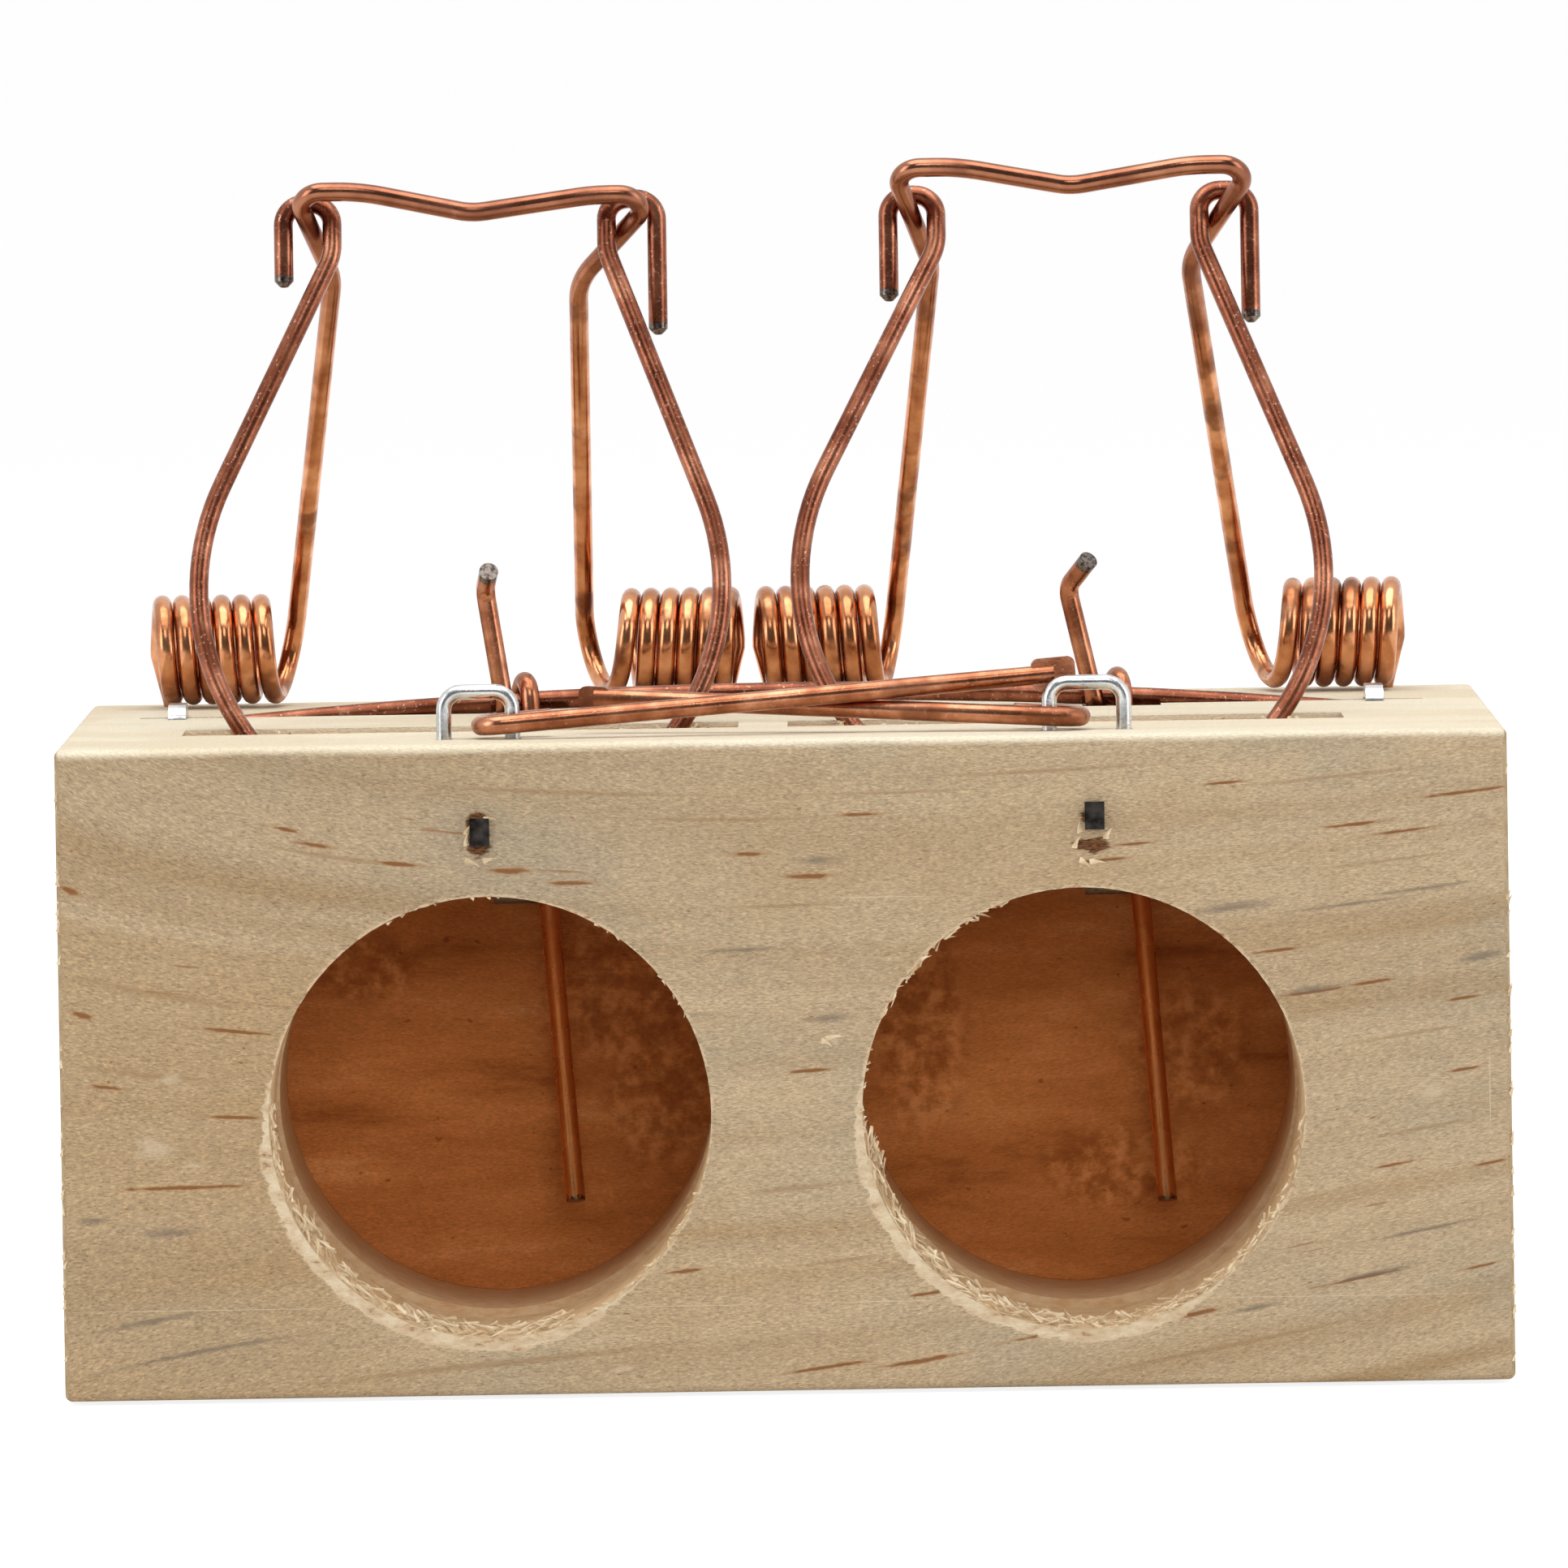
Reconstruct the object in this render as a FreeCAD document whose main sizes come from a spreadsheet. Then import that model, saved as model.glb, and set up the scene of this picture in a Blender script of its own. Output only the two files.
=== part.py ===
"""Snap mouse trap: a wooden block with two entry holes and a spring-driven choker loop over each.

Millimetres. X runs along the front, Y to the back and Z up. The origin is the middle of the block's
underside. The trap is modelled after it has gone off, with both loops up.
"""
import FreeCAD, Part
import math
import os

from FreeCAD import Placement, Rotation, Vector

SIZES = {
    # wooden block
    "block_width": 100.0,
    "block_depth": 70.0,
    "block_height": 45.0,
    "edge_round": 0.5,
    "overcut": 1.0,
    # entry holes
    "entry_diameter": 30.5,
    "entry_height": 19.2,
    "entry_depth": 46.0,
    "left_entry_x": -20.4,
    "right_entry_x": 20.5,
    # spring wire, used for every copper-coloured piece
    "wire_diameter": 1.35,
    "wire_hole_clearance": 0.05,
    # choker loops and their slots; each loop hangs on the spring's arms by a hook at each end
    "loop_radius": 18.4,
    "left_loop_length": 45.1,
    "right_loop_length": 45.2,
    "left_loop_x": -22.4,
    "right_loop_x": 19.9,
    "left_loop_lean": 17.8,
    "right_loop_lean": 20.2,
    "loop_side_clearance": 0.35,
    "loop_neck": 2.2,
    "loop_neck_bend": 4.0,
    "loop_hook_bend": 1.5,
    "loop_hook_rise": 1.65,
    "loop_hook_lean": 12.0,
    "leg_outer_left": -31.2,
    "leg_inner_left": -11.8,
    "leg_inner_right": 11.5,
    "leg_outer_right": 30.1,
    "hook_outer_left": -34.65,
    "hook_inner_left": -8.25,
    "hook_inner_right": 8.1,
    "hook_outer_right": 33.65,
    "hook_drop_outer_left": 3.85,
    "hook_drop_inner_left": 7.6,
    "hook_drop_inner_right": 5.5,
    "hook_drop_outer_right": 7.4,
    "slot_front": 18.9,
    "slot_width": 8.5,
    "slot_floor": 1.2,
    # torsion springs
    "coil_setback": 63.0,
    "coil_height": 4.2,
    "coil_radius": 3.3,
    "coil_pitch": 1.9,
    "coil_turns": 4,
    "coil_flare_outer_left": 0.25,
    "coil_flare_inner_left": 0.9,
    "coil_flare_inner_right": 0.25,
    "coil_flare_outer_right": 0.7,
    "coil_outer_left": -43.85,
    "coil_inner_left": -4.3,
    "coil_inner_right": -0.35,
    "coil_outer_right": 43.35,
    "arm_foot_outer_left": -34.9,
    "arm_foot_inner_left": -14.15,
    "arm_foot_inner_right": 8.3,
    "arm_foot_outer_right": 33.4,
    "anchor_depth": 16.0,
    "arm_rise": 46.0,
    "arm_length_outer_left": 43.12,
    "arm_length_inner_left": 42.42,
    "arm_length_inner_right": 44.62,
    "arm_length_outer_right": 44.47,
    "left_arm_neck": 8.6,
    "right_arm_neck": 9.6,
    "arm_neck_bend": 6.0,
    "arm_top_outer_left": -31.3,
    "arm_top_inner_left": -13.9,
    "arm_top_inner_right": 11.1,
    "arm_top_outer_right": 29.4,
    # crossbars, the part of the same wire between two arms
    "corner_outer_left": -33.8,
    "corner_inner_left": -8.1,
    "corner_inner_right": 8.45,
    "corner_outer_right": 34.0,
    "corner_bend": 1.5,
    "left_hang_distance": 3.05,
    "right_hang_distance": 4.85,
    "shoulder_inset": 4.6,
    "shoulder_bend": 12.0,
    "left_dip_x": -21.3,
    "right_dip_x": 21.0,
    "crossbar_dip": 2.0,
    "crossbar_dip_bend": 4.0,
    # front staples
    "staple_setback": 7.3,
    "staple_rise": 3.8,
    "staple_leg_depth": 8.0,
    "staple_wire_width": 1.05,
    "staple_wire_depth": 1.25,
    "staple_bend": 1.3,
    "left_staple_start": -23.8,
    "left_staple_end": -18.0,
    "right_staple_start": 18.1,
    "right_staple_end": 24.3,
    # lock bars
    "bar_eye_radius": 1.6,
    "bar_eye_reach": 2.2,
    "bar_return": 5.0,
    "bar_height": 0.93,
    "left_bar_length": 39.1,
    "right_bar_length": 33.0,
    "left_bar_skew": 4.7,
    "right_bar_skew": 12.4,
    "left_bar_climb": 4.15,
    "right_bar_climb": 2.6,
    "left_spade_length": 3.0,
    "right_spade_length": 2.2,
    "left_spade_height": 2.3,
    "right_spade_height": 1.6,
    "spade_thickness": 0.75,
    "spade_corner": 0.5,
    # pivot wire and the staples that hold it
    "pivot_setback": 47.5,
    "pivot_rise": 1.2,
    "pivot_bow_radius": 427.0,
    "pivot_inset": 5.0,
    "pivot_leg": 9.0,
    "pivot_end_bend": 1.6,
    "left_rear_staple_inset": 7.0,
    "right_rear_staple_inset": 7.8,
    "rear_staple_width": 6.2,
    "rear_staple_crown": 0.95,
    "rear_staple_gap": 0.35,
    # triggers
    "left_trigger_x": -17.9,
    "right_trigger_x": 24.2,
    "trigger_wrap_radius": 1.4,
    "trigger_wrap_shift": 1.75,
    "trigger_lean": 12.0,
    "left_trigger_side_lean": 2.1,
    "right_trigger_side_lean": 7.3,
    "trigger_rod": 37.1,
    "left_trigger_arm": 8.9,
    "right_trigger_arm": 8.4,
    "left_trigger_arm_side_lean": 6.3,
    "right_trigger_arm_side_lean": 16.0,
    "hook_corner_bend": 1.4,
    "hook_reach": 2.4,
    "left_hook_side": 0.4,
    "left_hook_rise": 1.4,
    "right_hook_side": 1.4,
    "right_hook_rise": 2.1,
    "passage_width": 5.6,
    "passage_recess": 2.2,
    "passage_overlap": 3.0,
    "passage_gap": 0.5,
    "trigger_back_swing": 9.0,
    "trigger_front_swing": 12.0,
    # brads across the slots
    "brad_diameter": 1.2,
    "brad_head_width": 1.35,
    "brad_head_height": 1.9,
    "brad_head_thickness": 0.6,
    "brad_length": 32.0,
    "brad_gap": 0.5,
    "left_brad_x": -20.8,
    "right_brad_x": 21.55,
}

doc = FreeCAD.newDocument("mouse_trap")
sheet = doc.addObject("Spreadsheet::Sheet", "sizes")
for row, (name, value) in enumerate(SIZES.items(), start=1):
    sheet.set("A%d" % row, name)
    sheet.set("B%d" % row, "%g" % value)
    sheet.setAlias("B%d" % row, name)
doc.recompute()


def size(name):
    """Reads one driving size from the sheet."""
    return float(getattr(sheet, name))


nodes = []


def keep(obj, label):
    """Marks an object as one of the trap's own pieces."""
    obj.Label = label
    nodes.append(obj)
    return obj


def bind(obj, **expressions):
    """Binds an object's sizes and place to the sheet; x, y and z are its position."""
    for key, expression in expressions.items():
        prop = "Placement.Base." + key if key in ("x", "y", "z") else key
        text = expression
        for alias in sorted(SIZES, key=len, reverse=True):
            text = replace_word(text, alias)
        obj.setExpression(prop, text)
    return obj


def replace_word(text, alias):
    """Puts the sheet's name before one alias wherever it stands as a whole word."""
    parts = text.split(" ")
    return " ".join("sizes." + alias if part == alias else part for part in parts)


# Paths of bent wire


def unit(vector):
    return Vector(vector) / vector.Length


def turned(vector, angle):
    """Turns a vector about X; a positive angle brings its top to the front."""
    return Rotation(Vector(1, 0, 0), angle).multVec(vector)


def bent(points, radii):
    """Straight runs through the points, with an arc of the given radius at each inner point."""
    edges = []
    start = points[0]
    for before, corner, after, radius in zip(points, points[1:], points[2:], radii):
        incoming = unit(corner - before)
        outgoing = unit(after - corner)
        turn = incoming.getAngle(outgoing)
        reach = radius * math.tan(turn / 2)
        first = corner - incoming * reach
        last = corner + outgoing * reach
        inward = unit(outgoing - incoming)
        middle = corner + inward * (radius / math.cos(turn / 2) - radius)
        if (first - start).Length > 1e-3:
            edges.append(Part.LineSegment(start, first).toShape())
        else:
            first = start
        edges.append(Part.Arc(first, middle, last).toShape())
        start = last
    edges.append(Part.LineSegment(start, points[-1]).toShape())
    return edges


def arc_from(start, tangent, end):
    """The arc that leaves one point along a tangent and ends at another."""
    chord = end - start
    along = unit(chord)
    side = tangent - along * tangent.dot(along)
    half_turn = tangent.getAngle(chord)
    middle = start + chord / 2 + unit(side) * (chord.Length / 2 * math.tan(half_turn / 2))
    return Part.Arc(start, middle, end).toShape()


def biarc(start, start_tangent, end, end_tangent):
    """Two arcs that meet smoothly between two points with given directions."""
    chord = end - start
    total = start_tangent + end_tangent
    bend = 2 * (1 - start_tangent.dot(end_tangent))
    slope = chord.dot(total)
    reach = (-slope + math.sqrt(slope * slope + bend * chord.dot(chord))) / bend
    joint = (start + start_tangent * reach + end - end_tangent * reach) / 2
    back = arc_from(end, end_tangent * -1, joint)
    return [arc_from(start, start_tangent, joint), back]


def wire_solid(edges, diameter):
    """One unbroken round wire along the edges."""
    path = Part.Wire(Part.__sortEdges__(edges))
    first = edges[0]
    start = first.valueAt(first.FirstParameter)
    tangent = first.tangentAt(first.FirstParameter)
    section = Part.Wire(Part.Circle(start, tangent, diameter / 2).toShape())
    return path.makePipeShell([section], True, False)


def least_gap(edges, diameter, apart):
    """The least clear distance between parts of the wire that lie further apart along it than given."""
    points = []
    along = 0.0
    for edge in edges:
        count = max(2, int(edge.Length / 0.25))
        for point in edge.discretize(count):
            if points:
                along += (point - points[-1][1]).Length
            points.append((along, point))
    least = 1e9
    for index, (place, point) in enumerate(points):
        for other_place, other in points[index + 1:]:
            if other_place - place > apart:
                least = min(least, (other - point).Length)
    return least - diameter


def wire_piece(label, edges, placement=None, apart=None):
    """Keeps a bent wire as a piece of its own and prints its least gap to itself."""
    diameter = size("wire_diameter")
    obj = doc.addObject("Part::Feature", label)
    obj.Shape = wire_solid(edges, diameter)
    obj.Placement = placement or Placement()
    if apart:
        print("%s: least gap to itself %.2f mm" % (label, least_gap(edges, diameter, apart)))
    return keep(obj, label)


# Places shared by several pieces

front = -size("block_depth") / 2
top = size("block_height")
wire = size("wire_diameter")
coil_axis = Vector(0, front + size("coil_setback"), top + size("coil_height"))
rise = math.radians(size("arm_rise"))
arm_direction = Vector(0, -math.cos(rise), math.sin(rise))
arm_start = coil_axis + Vector(0, math.sin(rise), math.cos(rise)) * size("coil_radius")


PLACES = {"left": ("outer_left", "inner_left"), "right": ("inner_right", "outer_right")}


def arm_point(x, along):
    """A point in the plane of the arms, given by X and the distance along an arm."""
    return arm_start + arm_direction * along + Vector(x, 0, 0)


def hang_point(side):
    """The line on which one unit's loop hangs and turns: its Y and Z."""
    lengths = [size("arm_length_" + place_name) for place_name in PLACES[side]]
    return arm_point(0, sum(lengths) / 2 - size(side + "_hang_distance"))


# Wooden block

block_box = doc.addObject("Part::Box", "block_box")
bind(block_box, Length="block_width", Width="block_depth", Height="block_height",
     x="0 - block_width / 2", y="0 - block_depth / 2")
doc.recompute()
block_blank = doc.addObject("Part::Fillet", "block_blank")
block_blank.Base = block_box
block_blank.Edges = [(number, size("edge_round"), size("edge_round")) for number in range(1, 13)]

cuts = []


def cut_cylinder(name, axis, **expressions):
    """A drilled hole; axis is the way in which it is drilled."""
    tool = doc.addObject("Part::Cylinder", name)
    tool.Placement = Placement(Vector(), Rotation(Vector(0, 0, 1), axis))
    cuts.append(bind(tool, **expressions))
    return tool


def cut_box(name, **expressions):
    tool = doc.addObject("Part::Box", name)
    cuts.append(bind(tool, **expressions))
    return tool


for side in ("left", "right"):
    cut_cylinder(side + "_entry", Vector(0, 1, 0), Radius="entry_diameter / 2",
                 Height="entry_depth + overcut", x=side + "_entry_x",
                 y="0 - block_depth / 2 - overcut",
                 z="entry_height")
    cut_box(side + "_slot",
            Length="2 * ( loop_radius + wire_diameter / 2 + loop_side_clearance )",
            Width="slot_width", Height="block_height",
            x=side + "_loop_x - loop_radius - wire_diameter / 2 - loop_side_clearance",
            y="slot_front - block_depth / 2", z="slot_floor")

# A trigger passage opens from the pivot wire's recess down into the entry hole. It is as wide as the
# trigger's rod swings at its lower end.
passage_floor = size("entry_height") + size("entry_diameter") / 2 - size("passage_overlap")
passage_depth = top + size("pivot_rise") - passage_floor
forward_swing = math.radians(size("trigger_lean") + size("trigger_front_swing"))
backward_swing = math.radians(size("trigger_lean") - size("trigger_back_swing"))
pivot_y = front + size("pivot_setback")
rod_front_y = pivot_y - size("trigger_wrap_radius")
rod_room = wire / 2 + size("passage_gap")
wrap_room = size("trigger_wrap_radius") + wire / 2 + size("passage_gap")
for side in ("left", "right"):
    passage = doc.addObject("Part::Wedge", side + "_passage")
    passage.Ymin = passage_floor
    passage.Ymax = top + size("overcut")
    passage.Zmin = -(rod_front_y - passage_depth * math.tan(backward_swing) + rod_room)
    passage.Zmax = -(rod_front_y - passage_depth * math.tan(forward_swing) - rod_room)
    passage.Z2min = -(rod_front_y + rod_room)
    passage.Z2max = -(rod_front_y - 2 * rod_room)
    passage.Xmin = 0
    passage.X2min = 0
    passage.Xmax = size("passage_width")
    passage.X2max = size("passage_width")
    passage.Placement = Placement(Vector(), Rotation(Vector(1, 0, 0), 90))
    bind(passage, x=side + "_trigger_x - passage_width / 2")
    cuts.append(passage)
    recess = cut_box(side + "_recess", Length="passage_width",
                     x=side + "_trigger_x - passage_width / 2",
                     z="block_height - passage_recess", Height="passage_recess + overcut")
    recess.Width = 2 * wrap_room
    recess.Placement.Base.y = pivot_y - wrap_room

# The pivot wire's groove follows its bow, and its ends are driven in.
bow = size("pivot_bow_radius")
pivot_end = size("block_width") / 2 - size("pivot_inset")
groove_half = wire / 2 + size("wire_hole_clearance")


def pivot_point(x):
    """A point on the bowed pivot wire's centreline."""
    drop = bow - math.sqrt(bow * bow - x * x)
    return Vector(x, pivot_y, top + size("pivot_rise") - drop)


lowered = Vector(0, -groove_half, -groove_half)
raised = Vector(0, 0, 4 * size("overcut"))
groove_a = pivot_point(-pivot_end) + lowered
groove_b = pivot_point(pivot_end) + lowered
groove_floor = Part.Arc(groove_a, pivot_point(0) + lowered, groove_b).toShape()
groove_rim = [groove_b, groove_b + raised, groove_a + raised, groove_a]
groove_sides = [Part.LineSegment(here, there).toShape() for here, there in zip(groove_rim, groove_rim[1:])]
groove = doc.addObject("Part::Feature", "pivot_groove")
groove.Shape = Part.Face(Part.Wire([groove_floor] + groove_sides)).extrude(Vector(0, 2 * groove_half, 0))
cuts.append(groove)

dent_length = wire + 2 * size("pivot_end_bend")
dent_depth = wire / 2 + size("pivot_end_bend")
for hand in (-1, 1):
    name = "left" if hand < 0 else "right"
    dent = cut_box(name + "_pivot_dent", Width="wire_diameter + 2 * wire_hole_clearance",
                   y="pivot_setback - block_depth / 2 - wire_diameter / 2 - wire_hole_clearance")
    outer = pivot_end + groove_half
    inner = outer - dent_length
    dent.Length = dent_length
    dent.Height = dent_depth + 4 * size("overcut")
    dent.Placement.Base.x = inner if hand > 0 else -outer
    dent.Placement.Base.z = pivot_point(pivot_end).z - dent_depth
    leg_hole = cut_cylinder(name + "_pivot_leg_hole", Vector(0, 0, 1),
                            Radius="wire_diameter / 2 + wire_hole_clearance", Height="pivot_leg + 4 * overcut",
                            y="pivot_setback - block_depth / 2")
    leg_hole.Placement.Base.x = hand * pivot_end
    leg_hole.Placement.Base.z = pivot_point(pivot_end).z - size("pivot_leg")

for name in ("coil_outer_left", "coil_inner_left", "coil_inner_right", "coil_outer_right"):
    cut_cylinder(name + "_leg_hole", Vector(0, 0, 1), x=name,
                 y="coil_setback + coil_radius - block_depth / 2", z="block_height - anchor_depth",
                 Radius="wire_diameter / 2 + wire_hole_clearance", Height="anchor_depth + overcut")

for side in ("left", "right"):
    for end, shift in (("start", "0"), ("end", "staple_wire_width")):
        cut_box("%s_staple_%s_hole" % (side, end),
                Length="staple_wire_width + 2 * wire_hole_clearance",
                Width="staple_wire_depth + 2 * wire_hole_clearance",
                Height="staple_leg_depth + overcut",
                x="%s_staple_%s - %s - wire_hole_clearance" % (side, end, shift),
                y="staple_setback - staple_wire_depth / 2 - wire_hole_clearance - block_depth / 2",
                z="block_height - staple_leg_depth")
    hand = "0 - " if side == "left" else ""
    for end, sign in (("front", "-"), ("back", "+")):
        cut_box("%s_rear_staple_%s_hole" % (side, end),
                Length="staple_wire_depth + 2 * wire_hole_clearance",
                Width="staple_wire_width + 2 * wire_hole_clearance",
                Height="staple_leg_depth + overcut",
                x=hand + "( block_width / 2 - " + side + "_rear_staple_inset ) - staple_wire_depth / 2 "
                  "- wire_hole_clearance",
                y="pivot_setback - block_depth / 2 - staple_wire_width / 2 - wire_hole_clearance "
                  + sign + " ( rear_staple_width - staple_wire_width ) / 2",
                z="block_height - staple_leg_depth")

# A brad crosses each slot just above the bottom of the raised loop.
def brad_z(side):
    lean = math.radians(size(side + "_loop_lean"))
    bottom = hang_point(side).z - size(side + "_loop_length") * math.cos(lean)
    return bottom + wire / 2 + size("brad_gap") + size("brad_diameter") / 2


for side in ("left", "right"):
    hole = cut_cylinder(side + "_brad_hole", Vector(0, 1, 0), x=side + "_brad_x",
                        y="0 - block_depth / 2 - overcut", Height="brad_length + overcut",
                        Radius="brad_diameter / 2 + wire_hole_clearance")
    hole.Placement.Base.z = brad_z(side)

doc.recompute()
tools = doc.addObject("Part::MultiFuse", "block_cuts")
tools.Shapes = cuts
block = doc.addObject("Part::Cut", "wood_block")
block.Base = block_blank
block.Tool = tools
keep(block, "wood_block")


# Staples


def outline(sketch, points, radii):
    """Draws a closed outline with rounded corners in a sketch."""
    count = len(points)
    firsts = []
    lasts = []
    for number in range(count):
        corner = points[number]
        incoming = unit(corner - points[number - 1])
        outgoing = unit(points[(number + 1) % count] - corner)
        turn = incoming.getAngle(outgoing)
        reach = radii[number] * math.tan(turn / 2)
        firsts.append(corner - incoming * reach)
        lasts.append(corner + outgoing * reach)
        if radii[number] > 0:
            inward = unit(outgoing - incoming)
            middle = corner + inward * (radii[number] / math.cos(turn / 2) - radii[number])
            sketch.addGeometry(Part.Arc(firsts[-1], middle, lasts[-1]))
    for number in range(count):
        sketch.addGeometry(Part.LineSegment(lasts[number - 1], firsts[number]))


def staple(label, width, crown, rise_above, section_width, section_depth, placement):
    """A U of flat wire: legs down into the wood, and a crown between two bends."""
    body = doc.addObject("PartDesign::Body", label)
    sketch = body.newObject("Sketcher::SketchObject", label + "_outline")
    plane = [item for item in body.Origin.OriginFeatures if item.Role == "XZ_Plane"][0]
    sketch.AttachmentSupport = (plane, "")
    sketch.MapMode = "FlatFace"
    outer = width / 2
    inner = outer - section_width
    low = -size("staple_leg_depth")
    bend = size("staple_bend")
    points = [Vector(-outer, low), Vector(-outer, rise_above), Vector(outer, rise_above),
              Vector(outer, low), Vector(inner, low), Vector(inner, rise_above - crown),
              Vector(-inner, rise_above - crown), Vector(-inner, low)]
    inner_bend = max(bend - section_width, 0.2)
    outline(sketch, points, [0, bend, bend, 0, 0, inner_bend, inner_bend, 0])
    pad = body.newObject("PartDesign::Pad", label + "_wire")
    pad.Profile = sketch
    pad.Length = section_depth
    pad.Midplane = True
    body.Placement = placement
    return keep(body, label)


for side in ("left", "right"):
    start_x = size(side + "_staple_start")
    end_x = size(side + "_staple_end")
    staple(side + "_bar_staple", end_x - start_x, size("staple_wire_width"), size("staple_rise"),
           size("staple_wire_width"), size("staple_wire_depth"),
           Placement(Vector((start_x + end_x) / 2, front + size("staple_setback"), top), Rotation()))
    hand = -1 if side == "left" else 1
    rear_staple_x = size("block_width") / 2 - size(side + "_rear_staple_inset")
    crown_bottom = pivot_point(rear_staple_x).z + wire / 2 + size("rear_staple_gap")
    crown_top = crown_bottom + size("rear_staple_crown") - top
    staple(side + "_pivot_staple", size("rear_staple_width"), size("rear_staple_crown"), crown_top,
           size("staple_wire_width"), size("staple_wire_depth"),
           Placement(Vector(hand * rear_staple_x, pivot_y, top), Rotation(Vector(0, 0, 1), 90)))

# Brads: a shank with a flat rectangular head against the front face.
for side in ("left", "right"):
    shank = doc.addObject("Part::Cylinder", side + "_brad_shank")
    shank.Placement = Placement(Vector(), Rotation(Vector(0, 0, 1), Vector(0, 1, 0)))
    bind(shank, Radius="brad_diameter / 2", Height="brad_length", x=side + "_brad_x",
         y="0 - block_depth / 2")
    shank.Placement.Base.z = brad_z(side)
    head = doc.addObject("Part::Box", side + "_brad_head")
    bind(head, Length="brad_head_width", Width="brad_head_thickness", Height="brad_head_height",
         x=side + "_brad_x - brad_head_width / 2", y="0 - block_depth / 2 - brad_head_thickness")
    head.Placement.Base.z = brad_z(side) - size("brad_head_height") / 2
    brad = doc.addObject("Part::Fuse", side + "_loop_brad")
    brad.Base = shank
    brad.Tool = head
    keep(brad, side + "_loop_brad")

# Pivot wire: one bowed wire across the block, its ends bent down into the wood.
first = pivot_point(-pivot_end)
last = pivot_point(pivot_end)
leg = Vector(0, 0, -size("pivot_leg"))
end_bend = size("pivot_end_bend")
bow_start = pivot_point(-pivot_end + end_bend)
bow_end = pivot_point(pivot_end - end_bend)
bow_edge = Part.Arc(bow_start, pivot_point(0), bow_end).toShape()
start_tangent = bow_edge.tangentAt(bow_edge.FirstParameter)
end_tangent = bow_edge.tangentAt(bow_edge.LastParameter)
down = Vector(0, 0, -end_bend)
pivot_edges = [Part.LineSegment(first + leg, first + down).toShape()]
pivot_edges += biarc(first + down, Vector(0, 0, 1), bow_start, start_tangent)
pivot_edges.append(bow_edge)
pivot_edges += biarc(bow_end, end_tangent, last + down, Vector(0, 0, -1))
pivot_edges.append(Part.LineSegment(last + down, last + leg).toShape())
wire_piece("trigger_pivot_wire", pivot_edges)

# Torsion springs: each unit has one length of wire, wound into a coil at both ends. Two anchored coils
# and the moving part between them are three nodes, because the arms turn and the anchored ends don't.
coil_radius = size("coil_radius")
turns = int(size("coil_turns"))
advance = size("coil_pitch") / (2 * math.pi)
quarter = math.pi / 2
begin_angle = (4 * turns - 1) * quarter
leave_angle = 2 * math.pi * turns + math.pi / 2 - rise
flare_angle = begin_angle - math.pi


def coil_travel(place_name, angle):
    """How far the winding has moved along X, and how fast. The arm pulls the last half turn outward."""
    flare = size("coil_flare_" + place_name)
    pulled = max(0, (angle - flare_angle) / math.pi)
    return advance * angle + flare * pulled ** 3, advance + 3 * flare * pulled ** 2 / math.pi


def coil_point(place_name, inward, angle):
    """A point of the winding; the angle starts at the back and goes over the top to the front."""
    travel, _ = coil_travel(place_name, angle)
    return Vector(size("coil_" + place_name) + inward * travel, coil_axis.y + coil_radius * math.cos(angle),
                  coil_axis.z + coil_radius * math.sin(angle))


def coil_tangent(place_name, inward, angle):
    _, speed = coil_travel(place_name, angle)
    return unit(Vector(inward * speed, -coil_radius * math.sin(angle), coil_radius * math.cos(angle)))


def smooth_run(stations):
    """Arcs through points with given directions."""
    edges = []
    for (here, tangent), (there, after) in zip(stations, stations[1:]):
        edges += biarc(here, tangent, there, after)
    return edges


def arm_foot(side, place_name, inward):
    """The arm's wire from the bottom of the last turn up the back of the coil, moving clear of it."""
    first = coil_point(place_name, inward, begin_angle)
    foot = coil_point(place_name, inward, leave_angle)
    foot.x = size("arm_foot_" + place_name)
    neck_along = size("arm_length_" + place_name) - size(side + "_arm_neck")
    neck = arm_point(size("arm_top_" + place_name), neck_along)
    along = unit(neck - foot)
    sweep = leave_angle - begin_angle
    first_slope = inward * coil_travel(place_name, begin_angle)[1] * sweep
    last_slope = along.x / math.hypot(along.y, along.z) * coil_radius * sweep
    stations = [(first, coil_tangent(place_name, inward, begin_angle))]
    for share in (0.25, 0.5, 0.75, 1.0):
        rest = 1 - share
        angle = begin_angle + share * sweep
        point = coil_point(place_name, inward, angle)
        point.x = (first.x * (1 + 2 * share) * rest * rest + first_slope * share * rest * rest
                   + foot.x * share * share * (3 - 2 * share) - last_slope * share * share * rest)
        slope = (6 * share * rest * (foot.x - first.x) + first_slope * rest * (1 - 3 * share)
                 + last_slope * share * (3 * share - 2)) / sweep
        tangent = Vector(slope, -coil_radius * math.sin(angle), coil_radius * math.cos(angle))
        stations.append((point, unit(tangent)))
    return stations, neck


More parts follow.
